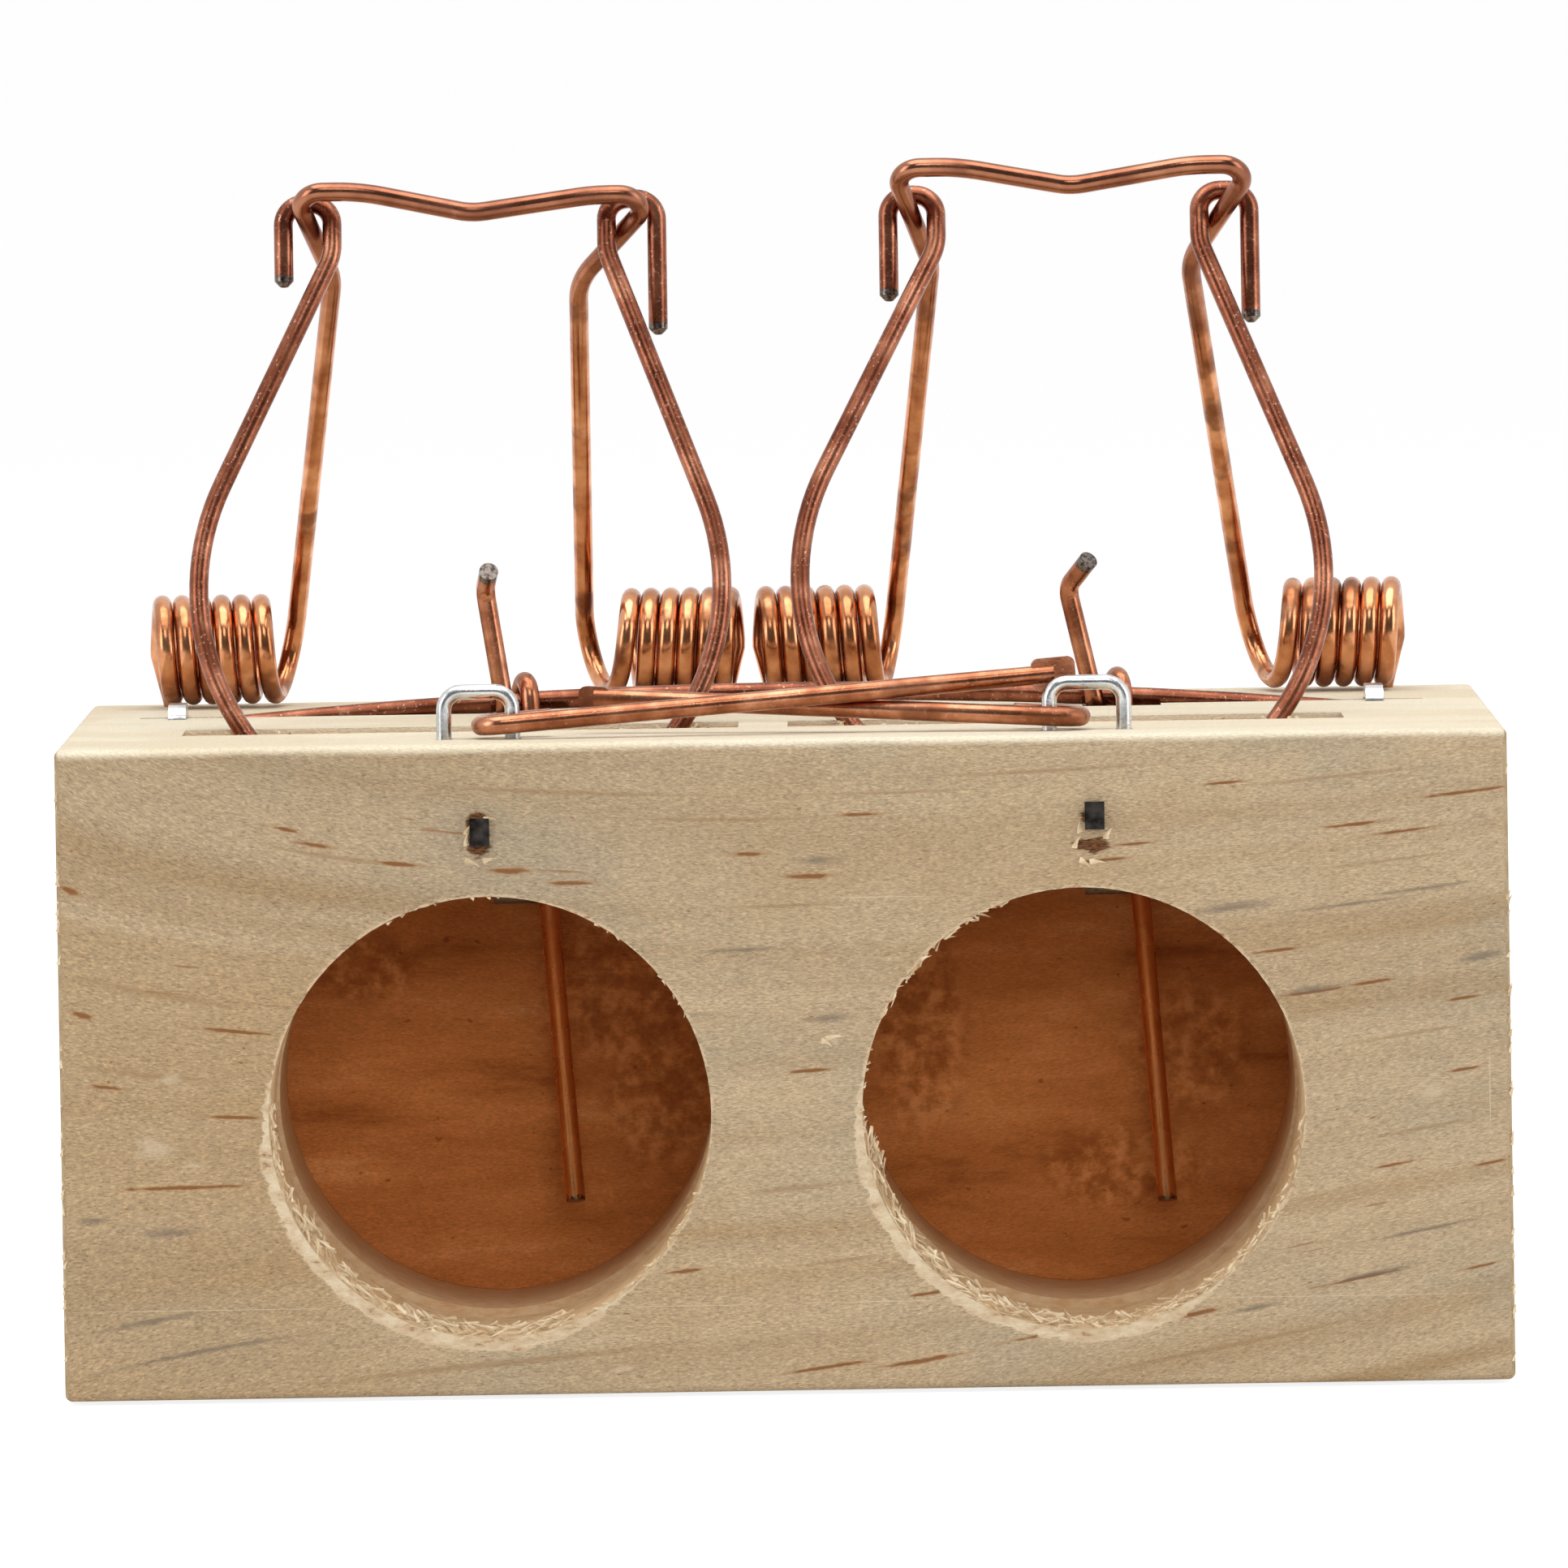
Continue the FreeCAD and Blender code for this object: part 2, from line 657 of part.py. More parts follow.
for side in ("left", "right"):
    for hand, place_name in zip((-1, 1), PLACES[side]):
        inward = -hand
        leg_top = coil_point(place_name, inward, 0)
        leg_foot = Vector(leg_top.x, leg_top.y, top - size("anchor_depth"))
        stations = [(leg_top, Vector(0, 0, 1))]
        for number in range(1, 4 * turns):
            stations.append((coil_point(place_name, inward, number * quarter),
                             coil_tangent(place_name, inward, number * quarter)))
        edges = [Part.LineSegment(leg_foot, leg_top).toShape()] + smooth_run(stations)
        label = side + "_unit_" + ("left" if hand < 0 else "right") + "_spring_coil"
        wire_piece(label, edges, apart=4 * coil_radius)

    left_name, right_name = PLACES[side]
    left_stations, left_neck = arm_foot(side, left_name, 1)
    right_stations, right_neck = arm_foot(side, right_name, -1)
    returning = [(point, tangent * -1) for point, tangent in reversed(right_stations)]
    left_length = size("arm_length_" + left_name)
    right_length = size("arm_length_" + right_name)
    left_corner = arm_point(size("corner_" + left_name), left_length)
    right_corner = arm_point(size("corner_" + right_name), right_length)
    left_shoulder = left_corner + Vector(size("shoulder_inset"), 0, 0)
    right_shoulder = right_corner - Vector(size("shoulder_inset"), 0, 0)
    dip = arm_point(size(side + "_dip_x"), (left_length + right_length) / 2 - size("crossbar_dip"))
    bends = [size("arm_neck_bend"), size("corner_bend"), size("shoulder_bend"), size("crossbar_dip_bend")]
    bends += list(reversed(bends[:3]))
    edges = smooth_run(left_stations)
    edges += bent([left_stations[-1][0], left_neck, left_corner, left_shoulder, dip, right_shoulder,
                   right_corner, right_neck, returning[0][0]], bends)
    edges += smooth_run(returning)
    wire_piece(side + "_arms_and_crossbar", edges, apart=8 * size("corner_bend"))

# Choker loops: hook, leg, round loop, leg, hook, bent in one plane that leans back with its top.
for side in ("left", "right"):
    length = size(side + "_loop_length")
    radius = size("loop_radius")
    centre_x = size(side + "_loop_x")
    ends = []
    for hand, place_name in zip((-1, 1), PLACES[side]):
        neck = Vector(size("leg_" + place_name), 0, -size("loop_neck"))
        tall = length - size("loop_neck")
        width = -hand * (neck.x - centre_x)
        square = 2 * radius - tall
        # The leg's line from its neck touches the loop. It meets the loop's bottom tangent at reach.
        root = math.sqrt(radius * radius * width * width - square * tall * radius * radius)
        reach = (-radius * width - root) / square
        corner = Vector(centre_x + hand * reach, 0, -length)
        inner = Vector(neck.x, 0, size("loop_hook_rise"))
        outer = Vector(size("hook_" + place_name), 0, inner.z)
        # The hook hangs a little behind the plane of the leg.
        drop = size("loop_hook_rise") + size("hook_drop_" + place_name)
        tip = outer + turned(Vector(0, 0, -drop), size("loop_hook_lean"))
        ends.append([tip, outer, inner, neck, corner])
    points = ends[0] + list(reversed(ends[1]))
    bends = [size("loop_hook_bend"), size("loop_hook_bend"), size("loop_neck_bend"), radius]
    edges = bent(points, bends + list(reversed(bends)))
    place = Placement(hang_point(side), Rotation(Vector(1, 0, 0), -size(side + "_loop_lean")))
    wire_piece(side + "_choker_loop", edges, place, apart=8 * size("loop_hook_bend"))

# Lock bars: a U round one leg of its staple, a long strand, and a flattened tip.
for side, hand in (("left", 1), ("right", -1)):
    if side == "left":
        leg_x = size("left_staple_end") - size("staple_wire_width") / 2
    else:
        leg_x = size("right_staple_start") + size("staple_wire_width") / 2
    half = size("bar_eye_radius")
    closed = -hand * size("bar_eye_reach")
    length = size(side + "_bar_length")
    flat = size(side + "_spade_length")
    strand_end = hand * (length - flat / 2)
    points = [Vector(closed + hand * size("bar_return"), half, 0), Vector(closed, half, 0),
              Vector(closed, -half, 0), Vector(strand_end, -half, 0)]
    edges = bent(points, [half, half])
    # The bar climbs towards its tip, turning where the U is closed.
    climb = Rotation(Vector(0, 1, 0), -hand * size(side + "_bar_climb"))
    skew = Rotation(Vector(0, 0, 1), hand * size(side + "_bar_skew"))
    hinge = Vector(closed, 0, 0)
    origin = Vector(leg_x, front + size("staple_setback"), top + size("bar_height"))
    turn = skew.multiply(climb)
    place = Placement(origin + skew.multVec(hinge) - turn.multVec(hinge), turn)
    strand = doc.addObject("Part::Feature", side + "_bar_strand")
    strand.Shape = wire_solid(edges, wire)
    spade = doc.addObject("Part::Box", side + "_bar_spade")
    bind(spade, Length=side + "_spade_length", Width="spade_thickness", Height=side + "_spade_height",
         y="0 - bar_eye_radius - spade_thickness / 2", z="0 - " + side + "_spade_height / 2")
    spade.Placement.Base.x = length - flat if hand > 0 else -length
    doc.recompute()
    tip = doc.addObject("Part::Fillet", side + "_bar_tip")
    tip.Base = spade
    corner_edges = []
    for number, edge in enumerate(spade.Shape.Edges, start=1):
        along = edge.tangentAt(edge.FirstParameter)
        if abs(along.y) > 0.9:
            corner_edges.append((number, size("spade_corner"), size("spade_corner")))
    tip.Edges = corner_edges
    bar = doc.addObject("Part::Fuse", side + "_lock_bar")
    bar.Base = strand
    bar.Tool = tip
    bar.Placement = place
    keep(bar, side + "_lock_bar")

# Triggers: a rod hanging into the entry hole, one turn round the pivot wire, and a short hook above.
for side in ("left", "right"):
    wrap = size("trigger_wrap_radius")
    lean_angle = math.radians(size("trigger_lean"))
    side_lean = math.tan(math.radians(size(side + "_trigger_side_lean")))
    whole = math.pi * 2 - lean_angle
    corners_count = 6
    step = whole / corners_count
    corner_radius = wrap / math.cos(step / 2)
    shift = size("trigger_wrap_shift") / (corners_count - 1)
    corners = []
    for number in range(corners_count):
        angle = math.pi - lean_angle - step / 2 - number * step
        corners.append(Vector(-shift * number, corner_radius * math.cos(angle),
                              corner_radius * math.sin(angle)))
    rod = size("trigger_rod")
    tip = corners[0] + Vector(side_lean, -math.tan(lean_angle), -1) * (rod * math.cos(lean_angle))
    arm_lean = math.tan(math.radians(size(side + "_trigger_arm_side_lean")))
    bend_point = corners[-1] + Vector(-arm_lean, 0, 1) * size(side + "_trigger_arm")
    hook = bend_point + Vector(size(side + "_hook_side"), -size("hook_reach"), size(side + "_hook_rise"))
    edge_radius = wrap * 0.98
    bends = [edge_radius] * corners_count + [size("hook_corner_bend")]
    edges = bent([tip] + corners + [bend_point, hook], bends)
    pivot_x = size(side + "_trigger_x")
    at = pivot_point(pivot_x)
    slope = math.degrees(math.asin(pivot_x / bow))
    place = Placement(at, Rotation(Vector(0, 1, 0), slope))
    wire_piece(side + "_trigger", edges, place, apart=5 * wrap)
    print("%s trigger hinge at %.4f %.4f %.4f, slope %.4f" % (side, at.x, at.y, at.z, slope))

doc.recompute()

print("coil axis", coil_axis)
for side in ("left", "right"):
    print(side, "hang line", hang_point(side))

# Every object has to be sound before anything is written.
for obj in doc.Objects:
    states = [state for state in obj.State if state in ("Invalid", "Error")]
    if states:
        raise RuntimeError("%s is %s" % (obj.Label, states))
os.makedirs("parts", exist_ok=True)
for obj in nodes:
    if obj.Shape.isNull() or not obj.Shape.isValid() or not obj.Shape.Solids:
        raise RuntimeError("%s has no sound solid" % obj.Label)
    if obj.Shape.Volume <= 0:
        raise RuntimeError("%s is inside out" % obj.Label)
for obj in nodes:
    obj.Shape.exportStep("parts/%s.step" % obj.Label)
print(len(nodes), "pieces")
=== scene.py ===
"""Snap mouse trap: pine block with two entry holes, coppered spring wires, bright staples."""
import math
import random

import bpy
from mathutils import Matrix, Vector


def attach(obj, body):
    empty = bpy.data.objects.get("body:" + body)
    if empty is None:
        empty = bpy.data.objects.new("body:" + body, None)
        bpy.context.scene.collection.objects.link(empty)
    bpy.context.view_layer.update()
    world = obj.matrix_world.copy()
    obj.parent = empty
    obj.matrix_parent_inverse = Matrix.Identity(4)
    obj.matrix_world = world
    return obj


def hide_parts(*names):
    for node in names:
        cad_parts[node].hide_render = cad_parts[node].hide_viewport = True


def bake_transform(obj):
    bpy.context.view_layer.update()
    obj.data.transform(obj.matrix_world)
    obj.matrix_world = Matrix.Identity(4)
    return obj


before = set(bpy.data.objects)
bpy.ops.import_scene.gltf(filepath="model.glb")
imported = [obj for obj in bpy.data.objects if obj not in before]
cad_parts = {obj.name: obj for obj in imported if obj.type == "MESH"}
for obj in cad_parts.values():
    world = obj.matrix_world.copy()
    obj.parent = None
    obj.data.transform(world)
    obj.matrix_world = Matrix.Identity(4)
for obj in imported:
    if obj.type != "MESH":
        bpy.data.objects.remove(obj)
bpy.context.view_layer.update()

# Lengths are in mm and are turned into metres by MM.
MM = 0.001
WIRE = 1.35
BLOCK_FRONT = -35.0
BLOCK_TOP = 45.0
BLOCK_HALF = 50.0
HOLES = {"left": (-20.4, 19.2), "right": (20.5, 19.2)}
HOLE_RADIUS = 15.25
HOLE_BACK = 11.0
SLOTS = {"left": -22.4, "right": 19.9}
SLOT_FRONT = -16.1
SLOT_BACK = -7.6
SLOT_HALF = 19.42


# Materials


class Paint:
    """The node tree of one material or of the world, with short calls for the nodes that it needs."""

    def __init__(self, tree):
        self.nodes = tree.nodes
        self.links = tree.links

    def feed(self, socket, value):
        """Links an output to a socket, or sets the socket to a number or a colour."""
        if isinstance(value, bpy.types.NodeSocket):
            self.links.new(value, socket)
        elif isinstance(value, tuple) and socket.type == "RGBA":
            socket.default_value = (*value, 1)
        else:
            socket.default_value = value

    def place(self):
        return self.nodes.new("ShaderNodeTexCoord").outputs["Object"]

    def vector(self, operation, *values):
        """Vector maths on one to three values; a length or distance comes out as a number."""
        node = self.nodes.new("ShaderNodeVectorMath")
        node.operation = operation
        for socket, value in zip(node.inputs, values):
            self.feed(socket, value)
        return node.outputs["Value" if operation in ("LENGTH", "DISTANCE") else "Vector"]

    def mapped(self, place, scale=(1, 1, 1), shift=(0, 0, 0)):
        return self.vector("MULTIPLY_ADD", place, scale, shift)

    def split(self, place):
        node = self.nodes.new("ShaderNodeSeparateXYZ")
        self.feed(node.inputs[0], place)
        return node.outputs

    def joined(self, *values):
        node = self.nodes.new("ShaderNodeCombineXYZ")
        for socket, value in zip(node.inputs, values):
            self.feed(socket, value)
        return node.outputs[0]

    def noise(self, vector, scale=1.0, detail=3.0, roughness=0.5):
        node = self.nodes.new("ShaderNodeTexNoise")
        self.feed(node.inputs["Vector"], vector)
        self.feed(node.inputs["Scale"], scale)
        self.feed(node.inputs["Detail"], detail)
        self.feed(node.inputs["Roughness"], roughness)
        return node.outputs["Fac"]

    def ramp(self, value, stops):
        """A colour ramp from (position, colour) stops; a colour may be one grey number."""
        node = self.nodes.new("ShaderNodeValToRGB")
        self.feed(node.inputs["Fac"], value)
        elements = node.color_ramp.elements
        while len(elements) < len(stops):
            elements.new(0.5)
        for element, (position, colour) in zip(elements, stops):
            element.position = position
            grey = isinstance(colour, (int, float))
            element.color = (colour, colour, colour, 1) if grey else (*colour, 1)
        return node.outputs["Color"]

    def mix(self, amount, first, second, blend="MIX"):
        node = self.nodes.new("ShaderNodeMix")
        node.data_type = "RGBA"
        node.blend_type = blend
        self.feed(node.inputs[0], amount)
        self.feed(node.inputs[6], first)
        self.feed(node.inputs[7], second)
        return node.outputs[2]

    def cover(self, base, mask, share, colour):
        """Lays a colour over the base where the mask is 1, as far as the share says."""
        return self.mix(self.times(mask, share), base, colour)

    def calc(self, operation, first, second=0.0):
        node = self.nodes.new("ShaderNodeMath")
        node.operation = operation
        self.feed(node.inputs[0], first)
        self.feed(node.inputs[1], second)
        return node.outputs[0]

    def times(self, first, second):
        return self.calc("MULTIPLY", first, second)

    def plus(self, first, second):
        return self.calc("ADD", first, second)

    def step(self, value, low, high):
        """Rises smoothly from 0 at low to 1 at high."""
        node = self.nodes.new("ShaderNodeMapRange")
        node.interpolation_type = "SMOOTHSTEP"
        self.feed(node.inputs["Value"], value)
        self.feed(node.inputs["From Min"], low)
        self.feed(node.inputs["From Max"], high)
        return node.outputs["Result"]

    def bump(self, shader, height, strength, distance):
        node = self.nodes.new("ShaderNodeBump")
        self.feed(node.inputs["Strength"], strength)
        self.feed(node.inputs["Distance"], distance)
        self.feed(node.inputs["Height"], height)
        self.feed(shader.inputs["Normal"], node.outputs["Normal"])


def new_material(name):
    material = bpy.data.materials.new(name)
    material.use_nodes = True
    return material, Paint(material.node_tree), material.node_tree.nodes["Principled BSDF"]


# Marks on the front face, in mm: X, Z, length, height
DASHES = [
    (-34.2, 39.3, 2.4, 0.28), (-32.2, 38.2, 2.6, 0.30), (-26.5, 36.8, 3.0, 0.30), (-18.8, 36.2, 3.4, 0.50),
    (-14.7, 35.3, 3.6, 0.30), (-49.0, 35.3, 1.4, 0.45), (-48.4, 26.7, 1.6, 0.28), (-46.8, 21.7, 2.6, 0.28),
    (-38.1, 19.5, 4.4, 0.24), (-37.6, 25.4, 6.2, 0.25), (-41.4, 14.7, 9.5, 0.24), (-7.1, 8.4, 4.2, 0.28),
    (-2.3, 37.1, 2.9, 0.36), (2.0, 35.5, 3.5, 0.45), (5.4, 39.7, 3.3, 0.30), (22.1, 36.3, 4.2, 0.28),
    (24.3, 37.4, 3.0, 0.24), (39.5, 38.5, 5.2, 0.30), (42.8, 38.0, 5.0, 0.30), (34.1, 29.9, 4.2, 0.28),
    (36.4, 27.0, 5.2, 0.28), (40.5, 27.6, 3.4, 0.30), (46.7, 26.4, 3.3, 0.28), (46.7, 21.5, 2.9, 0.30),
    (41.9, 15.0, 3.4, 0.28), (48.4, 15.0, 2.9, 0.30), (39.4, 7.2, 6.4, 0.28), (47.7, 7.9, 3.0, 0.28),
    (1.7, 22.1, 3.5, 0.28), (9.6, 6.6, 3.2, 0.28), (9.3, 2.0, 6.4, 0.38), (2.5, 1.6, 5.8, 0.28),
    (17.6, 3.6, 6.0, 0.30), (27.3, 4.8, 5.2, 0.45), (47.0, 40.6, 6.0, 0.33), (30.5, 41.5, 3.0, 0.24),
]
SMUDGES = [
    (-42.6, 11.6, 4.4, 0.50), (-47.9, 12.5, 2.4, 0.40), (30.9, 32.9, 5.0, 0.75), (36.6, 27.2, 4.0, 0.60),
    (3.2, 25.7, 3.4, 0.60), (48.0, 29.3, 3.2, 0.80), (40.5, 7.5, 6.4, 0.45), (31.9, 5.2, 4.4, 0.45),
    (-40.4, 3.4, 17.0, 0.30), (-44.0, 5.5, 7.0, 0.35), (-3.0, 30.5, 5.0, 0.35), (44.0, 34.0, 7.0, 0.40),
    (2.6, 36.6, 3.0, 0.50), (39.0, 33.0, 8.0, 0.30), (-9.0, 26.0, 9.0, 0.25), (44.0, 10.5, 8.0, 0.30),
]
# Long darker lines of late wood
LATE_WOOD = [
    (-14.0, 41.5, 22.0, 0.45), (-4.0, 39.5, 18.0, 0.40), (8.0, 41.2, 20.0, 0.35), (18.0, 42.5, 24.0, 0.45),
    (38.0, 41.8, 20.0, 0.50), (42.0, 36.0, 15.0, 0.40), (0.0, 33.5, 12.0, 0.40), (43.0, 24.0, 13.0, 0.45),
    (0.5, 14.0, 9.0, 0.60), (44.0, 17.5, 11.0, 0.45), (-43.0, 28.0, 14.0, 0.60), (-44.0, 22.5, 12.0, 0.50),
    (-20.0, 2.2, 30.0, 0.50), (4.0, 9.0, 8.0, 0.40), (30.0, 2.6, 26.0, 0.45), (-30.0, 37.2, 16.0, 0.40),
]
# Rough, gouged places on the back walls of the holes, whose relief is painted as light and shade
GOUGES = [
    (-11.5, 25.5, 13.0, 13.0), (-9.0, 18.0, 8.0, 12.0), (9.5, 22.0, 7.0, 15.0), (28.5, 20.5, 9.0, 10.0),
    (24.0, 12.0, 12.0, 6.0), (-30.0, 27.0, 8.0, 5.0),
]
SCRATCHES = [
    (-40.0, 6.2, 20.0, 0.07), (-6.5, 6.0, 10.5, 0.07), (6.0, 6.1, 11.0, 0.07), (38.5, 6.0, 21.0, 0.07),
    (48.5, 20.2, 0.12, 5.4), (7.0, 34.0, 8.0, 0.08),
]
SCUFFS = [
    (-42.5, 22.2, 2.6, 1.0), (-41.0, 16.2, 2.2, 0.7), (-11.5, 1.7, 3.0, 0.6), (3.4, 24.3, 1.2, 1.2),
    (-43.5, 17.4, 4.0, 2.4), (44.5, 20.0, 3.0, 2.0),
]
PITS = [
    (-20.9, 39.75, 1.7, 1.2), (-20.85, 38.3, 1.75, 2.5), (21.3, 37.35, 2.5, 1.2), (21.2, 39.2, 1.6, 1.2),
]

# How fast a mark fades out with the depth below its face, per metre
MARK_DEPTH_SCALE = 60

# The end grain's arcs: the pith's depth below the floor, and the waves' steepness per metre
PITH_BELOW = 50
RING_WAVES = 2300

# The drill tore the face most at the lower left of each hole: the direction in X and Z, and the band's width
TORN_TOWARD = (-0.52, -0.85)
TORN_WIDTH = 0.8

# How the grain runs on the front face, in mm: it rises to the right and sags, it turns a little with the
# height above its middle, and it falls in the upper left corner.
GRAIN_RISE = 0.07
GRAIN_SAG = 0.0014
GRAIN_TURN = -0.0035
GRAIN_MIDDLE = 20
CORNER_FALL = 0.0002
CORNER_START = 22


def grain_lift(x, z):
    """How far the grain has risen at a place on the front face, against a level line through X 0, in mm."""
    corner = max(0.0, -x - CORNER_START)
    turn = CORNER_FALL * corner ** 2 + GRAIN_TURN * x
    return GRAIN_RISE * x + GRAIN_SAG * x ** 2 + turn * (z - GRAIN_MIDDLE)


def marks(paint, place, items, lift=None, depth=BLOCK_FRONT):
    """Distance to the nearest of several flat oval marks on a face at a depth: 1 is at an oval's edge."""
    nearest = None
    for x, z, length, height in items:
        level = z - lift(x, z) if lift else z
        sizes = (2 / length / MM, MARK_DEPTH_SCALE, 2 / height / MM)
        centre = (-x * MM * sizes[0], -depth * MM * sizes[1], -level * MM * sizes[2])
        distance = paint.vector("LENGTH", paint.mapped(place, sizes, centre))
        nearest = distance if nearest is None else paint.calc("MINIMUM", nearest, distance)
    return nearest


class Wood:
    """The places and noises that all layers of the pine's colour share."""

    def __init__(self, paint):
        self.paint = paint
        self.place = paint.place()
        self.x, self.y, self.z = paint.split(self.place)
        self.slow = self.noise((14, 30, 22), 2.0)
        level = paint.plus(self.z, paint.times(self.lift(), -1.0))
        self.flat = paint.joined(self.x, self.y, level)
        self.across = paint.plus(level, paint.times(paint.plus(self.slow, -0.5), 0.006))
        self.grain = paint.joined(self.x, self.y, self.across)
        self.rings = self.along((6, 60, 210), 2.0, 0.5)
        self.bands = self.along((16, 60, 95), 3.0, 0.5, (3, 1, 2))
        self.cloud = self.noise((45, 60, 70), 3.0, 0.6, (3, 4, 5))
        self.fibres = self.along((3400, 10500, 14000), 2.0, 0.6)
        self.pores = self.along((1300, 3600, 3600), 1.0, 0.5, (4, 1, 6))
        self.torn = self.noise((700, 900, 1500), 4.0, 0.65)
        self.tone = paint.ramp(self.fibres, [(0.30, 0.58), (0.44, 0.92), (0.56, 1.05), (0.72, 1.45)])
        self.specks = paint.ramp(self.pores, [(0.22, (0.62, 0.42, 0.28)), (0.29, 1.0),
                                              (0.70, 1.0), (0.78, 1.25)])
        self.ragged = paint.times(paint.plus(self.along((900, 2500, 2500), 3.0, 0.6, (6, 2, 9)), -0.5), 1.5)
        # Small dashes scattered thinly over every side
        self.stray = paint.times(
            paint.step(self.along((190, 1500, 3400), 1.0, 0.4, (7, 3, 5)), 0.72, 0.78),
            paint.step(self.along((25, 80, 90), 2.0, 0.5, (1, 8, 4)), 0.52, 0.62))

    def lift(self):
        """What grain_lift says, worked out in the shader, in metres."""
        paint = self.paint
        higher = paint.plus(self.z, -GRAIN_MIDDLE * MM)
        slope = paint.plus(paint.plus(paint.times(self.x, GRAIN_SAG / MM), GRAIN_RISE),
                           paint.times(higher, GRAIN_TURN / MM))
        corner = paint.calc("MAXIMUM", paint.plus(paint.times(self.x, -1.0), -CORNER_START * MM), 0.0)
        fall = paint.times(paint.times(paint.times(corner, corner), CORNER_FALL / MM / MM), higher)
        return paint.plus(paint.times(self.x, slope), fall)

    def noise(self, scale, detail, roughness=0.5, shift=(0, 0, 0)):
        """Noise that doesn't follow the grain."""
        return self.paint.noise(self.paint.mapped(self.place, scale, shift), 1.0, detail, roughness)

    def along(self, scale, detail, roughness, shift=(0, 0, 0)):
        """Noise drawn out along the grain."""
        return self.paint.noise(self.paint.mapped(self.grain, scale, shift), 1.0, detail, roughness)

    def roughened(self, distance, amount):
        """A distance in metres, made ragged as torn wood is."""
        return self.paint.plus(distance, self.paint.times(self.paint.plus(self.torn, -0.5), amount))


def planed_wood(paint, wood):
    """Bands of early and late wood, slow clouds of tone, fine fibres and pores."""
    base = paint.ramp(wood.rings, [(0.32, (0.375, 0.250, 0.128)), (0.44, (0.445, 0.328, 0.200)),
                                   (0.57, (0.500, 0.375, 0.233)), (0.70, (0.385, 0.262, 0.140))])
    base = paint.cover(base, paint.step(wood.bands, 0.42, 0.64), 0.5, (0.475, 0.357, 0.222))
    base = paint.cover(base, paint.step(wood.cloud, 0.48, 0.70), 0.4, (0.410, 0.275, 0.140))
    base = paint.cover(base, paint.step(wood.cloud, 0.50, 0.32), 0.5, (0.380, 0.318, 0.222))
    # One dark ring ends on the left, and the upper left is a little darker.
    ringed = paint.times(paint.step(wood.across, 0.0303, 0.0291), paint.step(wood.x, -0.020, -0.034))
    base = paint.cover(base, ringed, 0.5, (0.390, 0.258, 0.130))
    upper = paint.times(paint.step(wood.across, 0.024, 0.040), paint.step(wood.x, 0.030, -0.030))
    base = paint.mix(paint.times(upper, 0.6), base, (0.80, 0.80, 0.80), "MULTIPLY")
    base = paint.mix(0.9, base, wood.tone, "MULTIPLY")
    base = paint.mix(0.85, base, wood.specks, "MULTIPLY")
    lines = paint.plus(marks(paint, wood.flat, LATE_WOOD, grain_lift), paint.times(wood.slow, 0.8))
    return paint.cover(base, paint.step(lines, 1.5, 0.6), 0.55, (0.300, 0.185, 0.085))


def marked_wood(paint, wood, base):
    """Resin dashes, grey smudges, pale scuffs and scratches, and the torn pits round the brads, darkened with
    painted shade.
    """
    dashes = paint.plus(marks(paint, wood.flat, DASHES, grain_lift), wood.ragged)
    base = paint.cover(base, paint.step(dashes, 1.5, 0.6), 0.55, (0.36, 0.20, 0.085))
    base = paint.cover(base, paint.step(dashes, 0.95, 0.45), 0.85, (0.205, 0.075, 0.020))
    base = paint.cover(base, wood.stray, 0.65, (0.28, 0.115, 0.040))
    smudges = paint.plus(marks(paint, wood.flat, SMUDGES, grain_lift), wood.ragged)
    base = paint.cover(base, paint.step(smudges, 1.4, 0.1), 0.68, (0.158, 0.126, 0.094))
    scuffs = paint.plus(marks(paint, wood.flat, SCUFFS, grain_lift), wood.ragged)
    scratches = marks(paint, wood.place, SCRATCHES)
    pale = paint.calc("MAXIMUM", paint.times(paint.step(scuffs, 0.9, 0.0), 0.5),
                      paint.times(paint.step(scratches, 1.3, 0.6), 0.6))
    base = paint.mix(pale, base, (0.62, 0.50, 0.35))
    pits = paint.plus(marks(paint, wood.place, PITS), paint.times(wood.ragged, 0.9))
    # Torn wood with painted shade: the pits go nearly black, for the shade in the hollows round the brads.
    pit_shade_tone = paint.ramp(wood.fibres, [(0.35, (0.03, 0.015, 0.008)), (0.6, (0.20, 0.08, 0.028))])
    return paint.mix(paint.step(pits, 1.05, 0.75), base, pit_shade_tone)


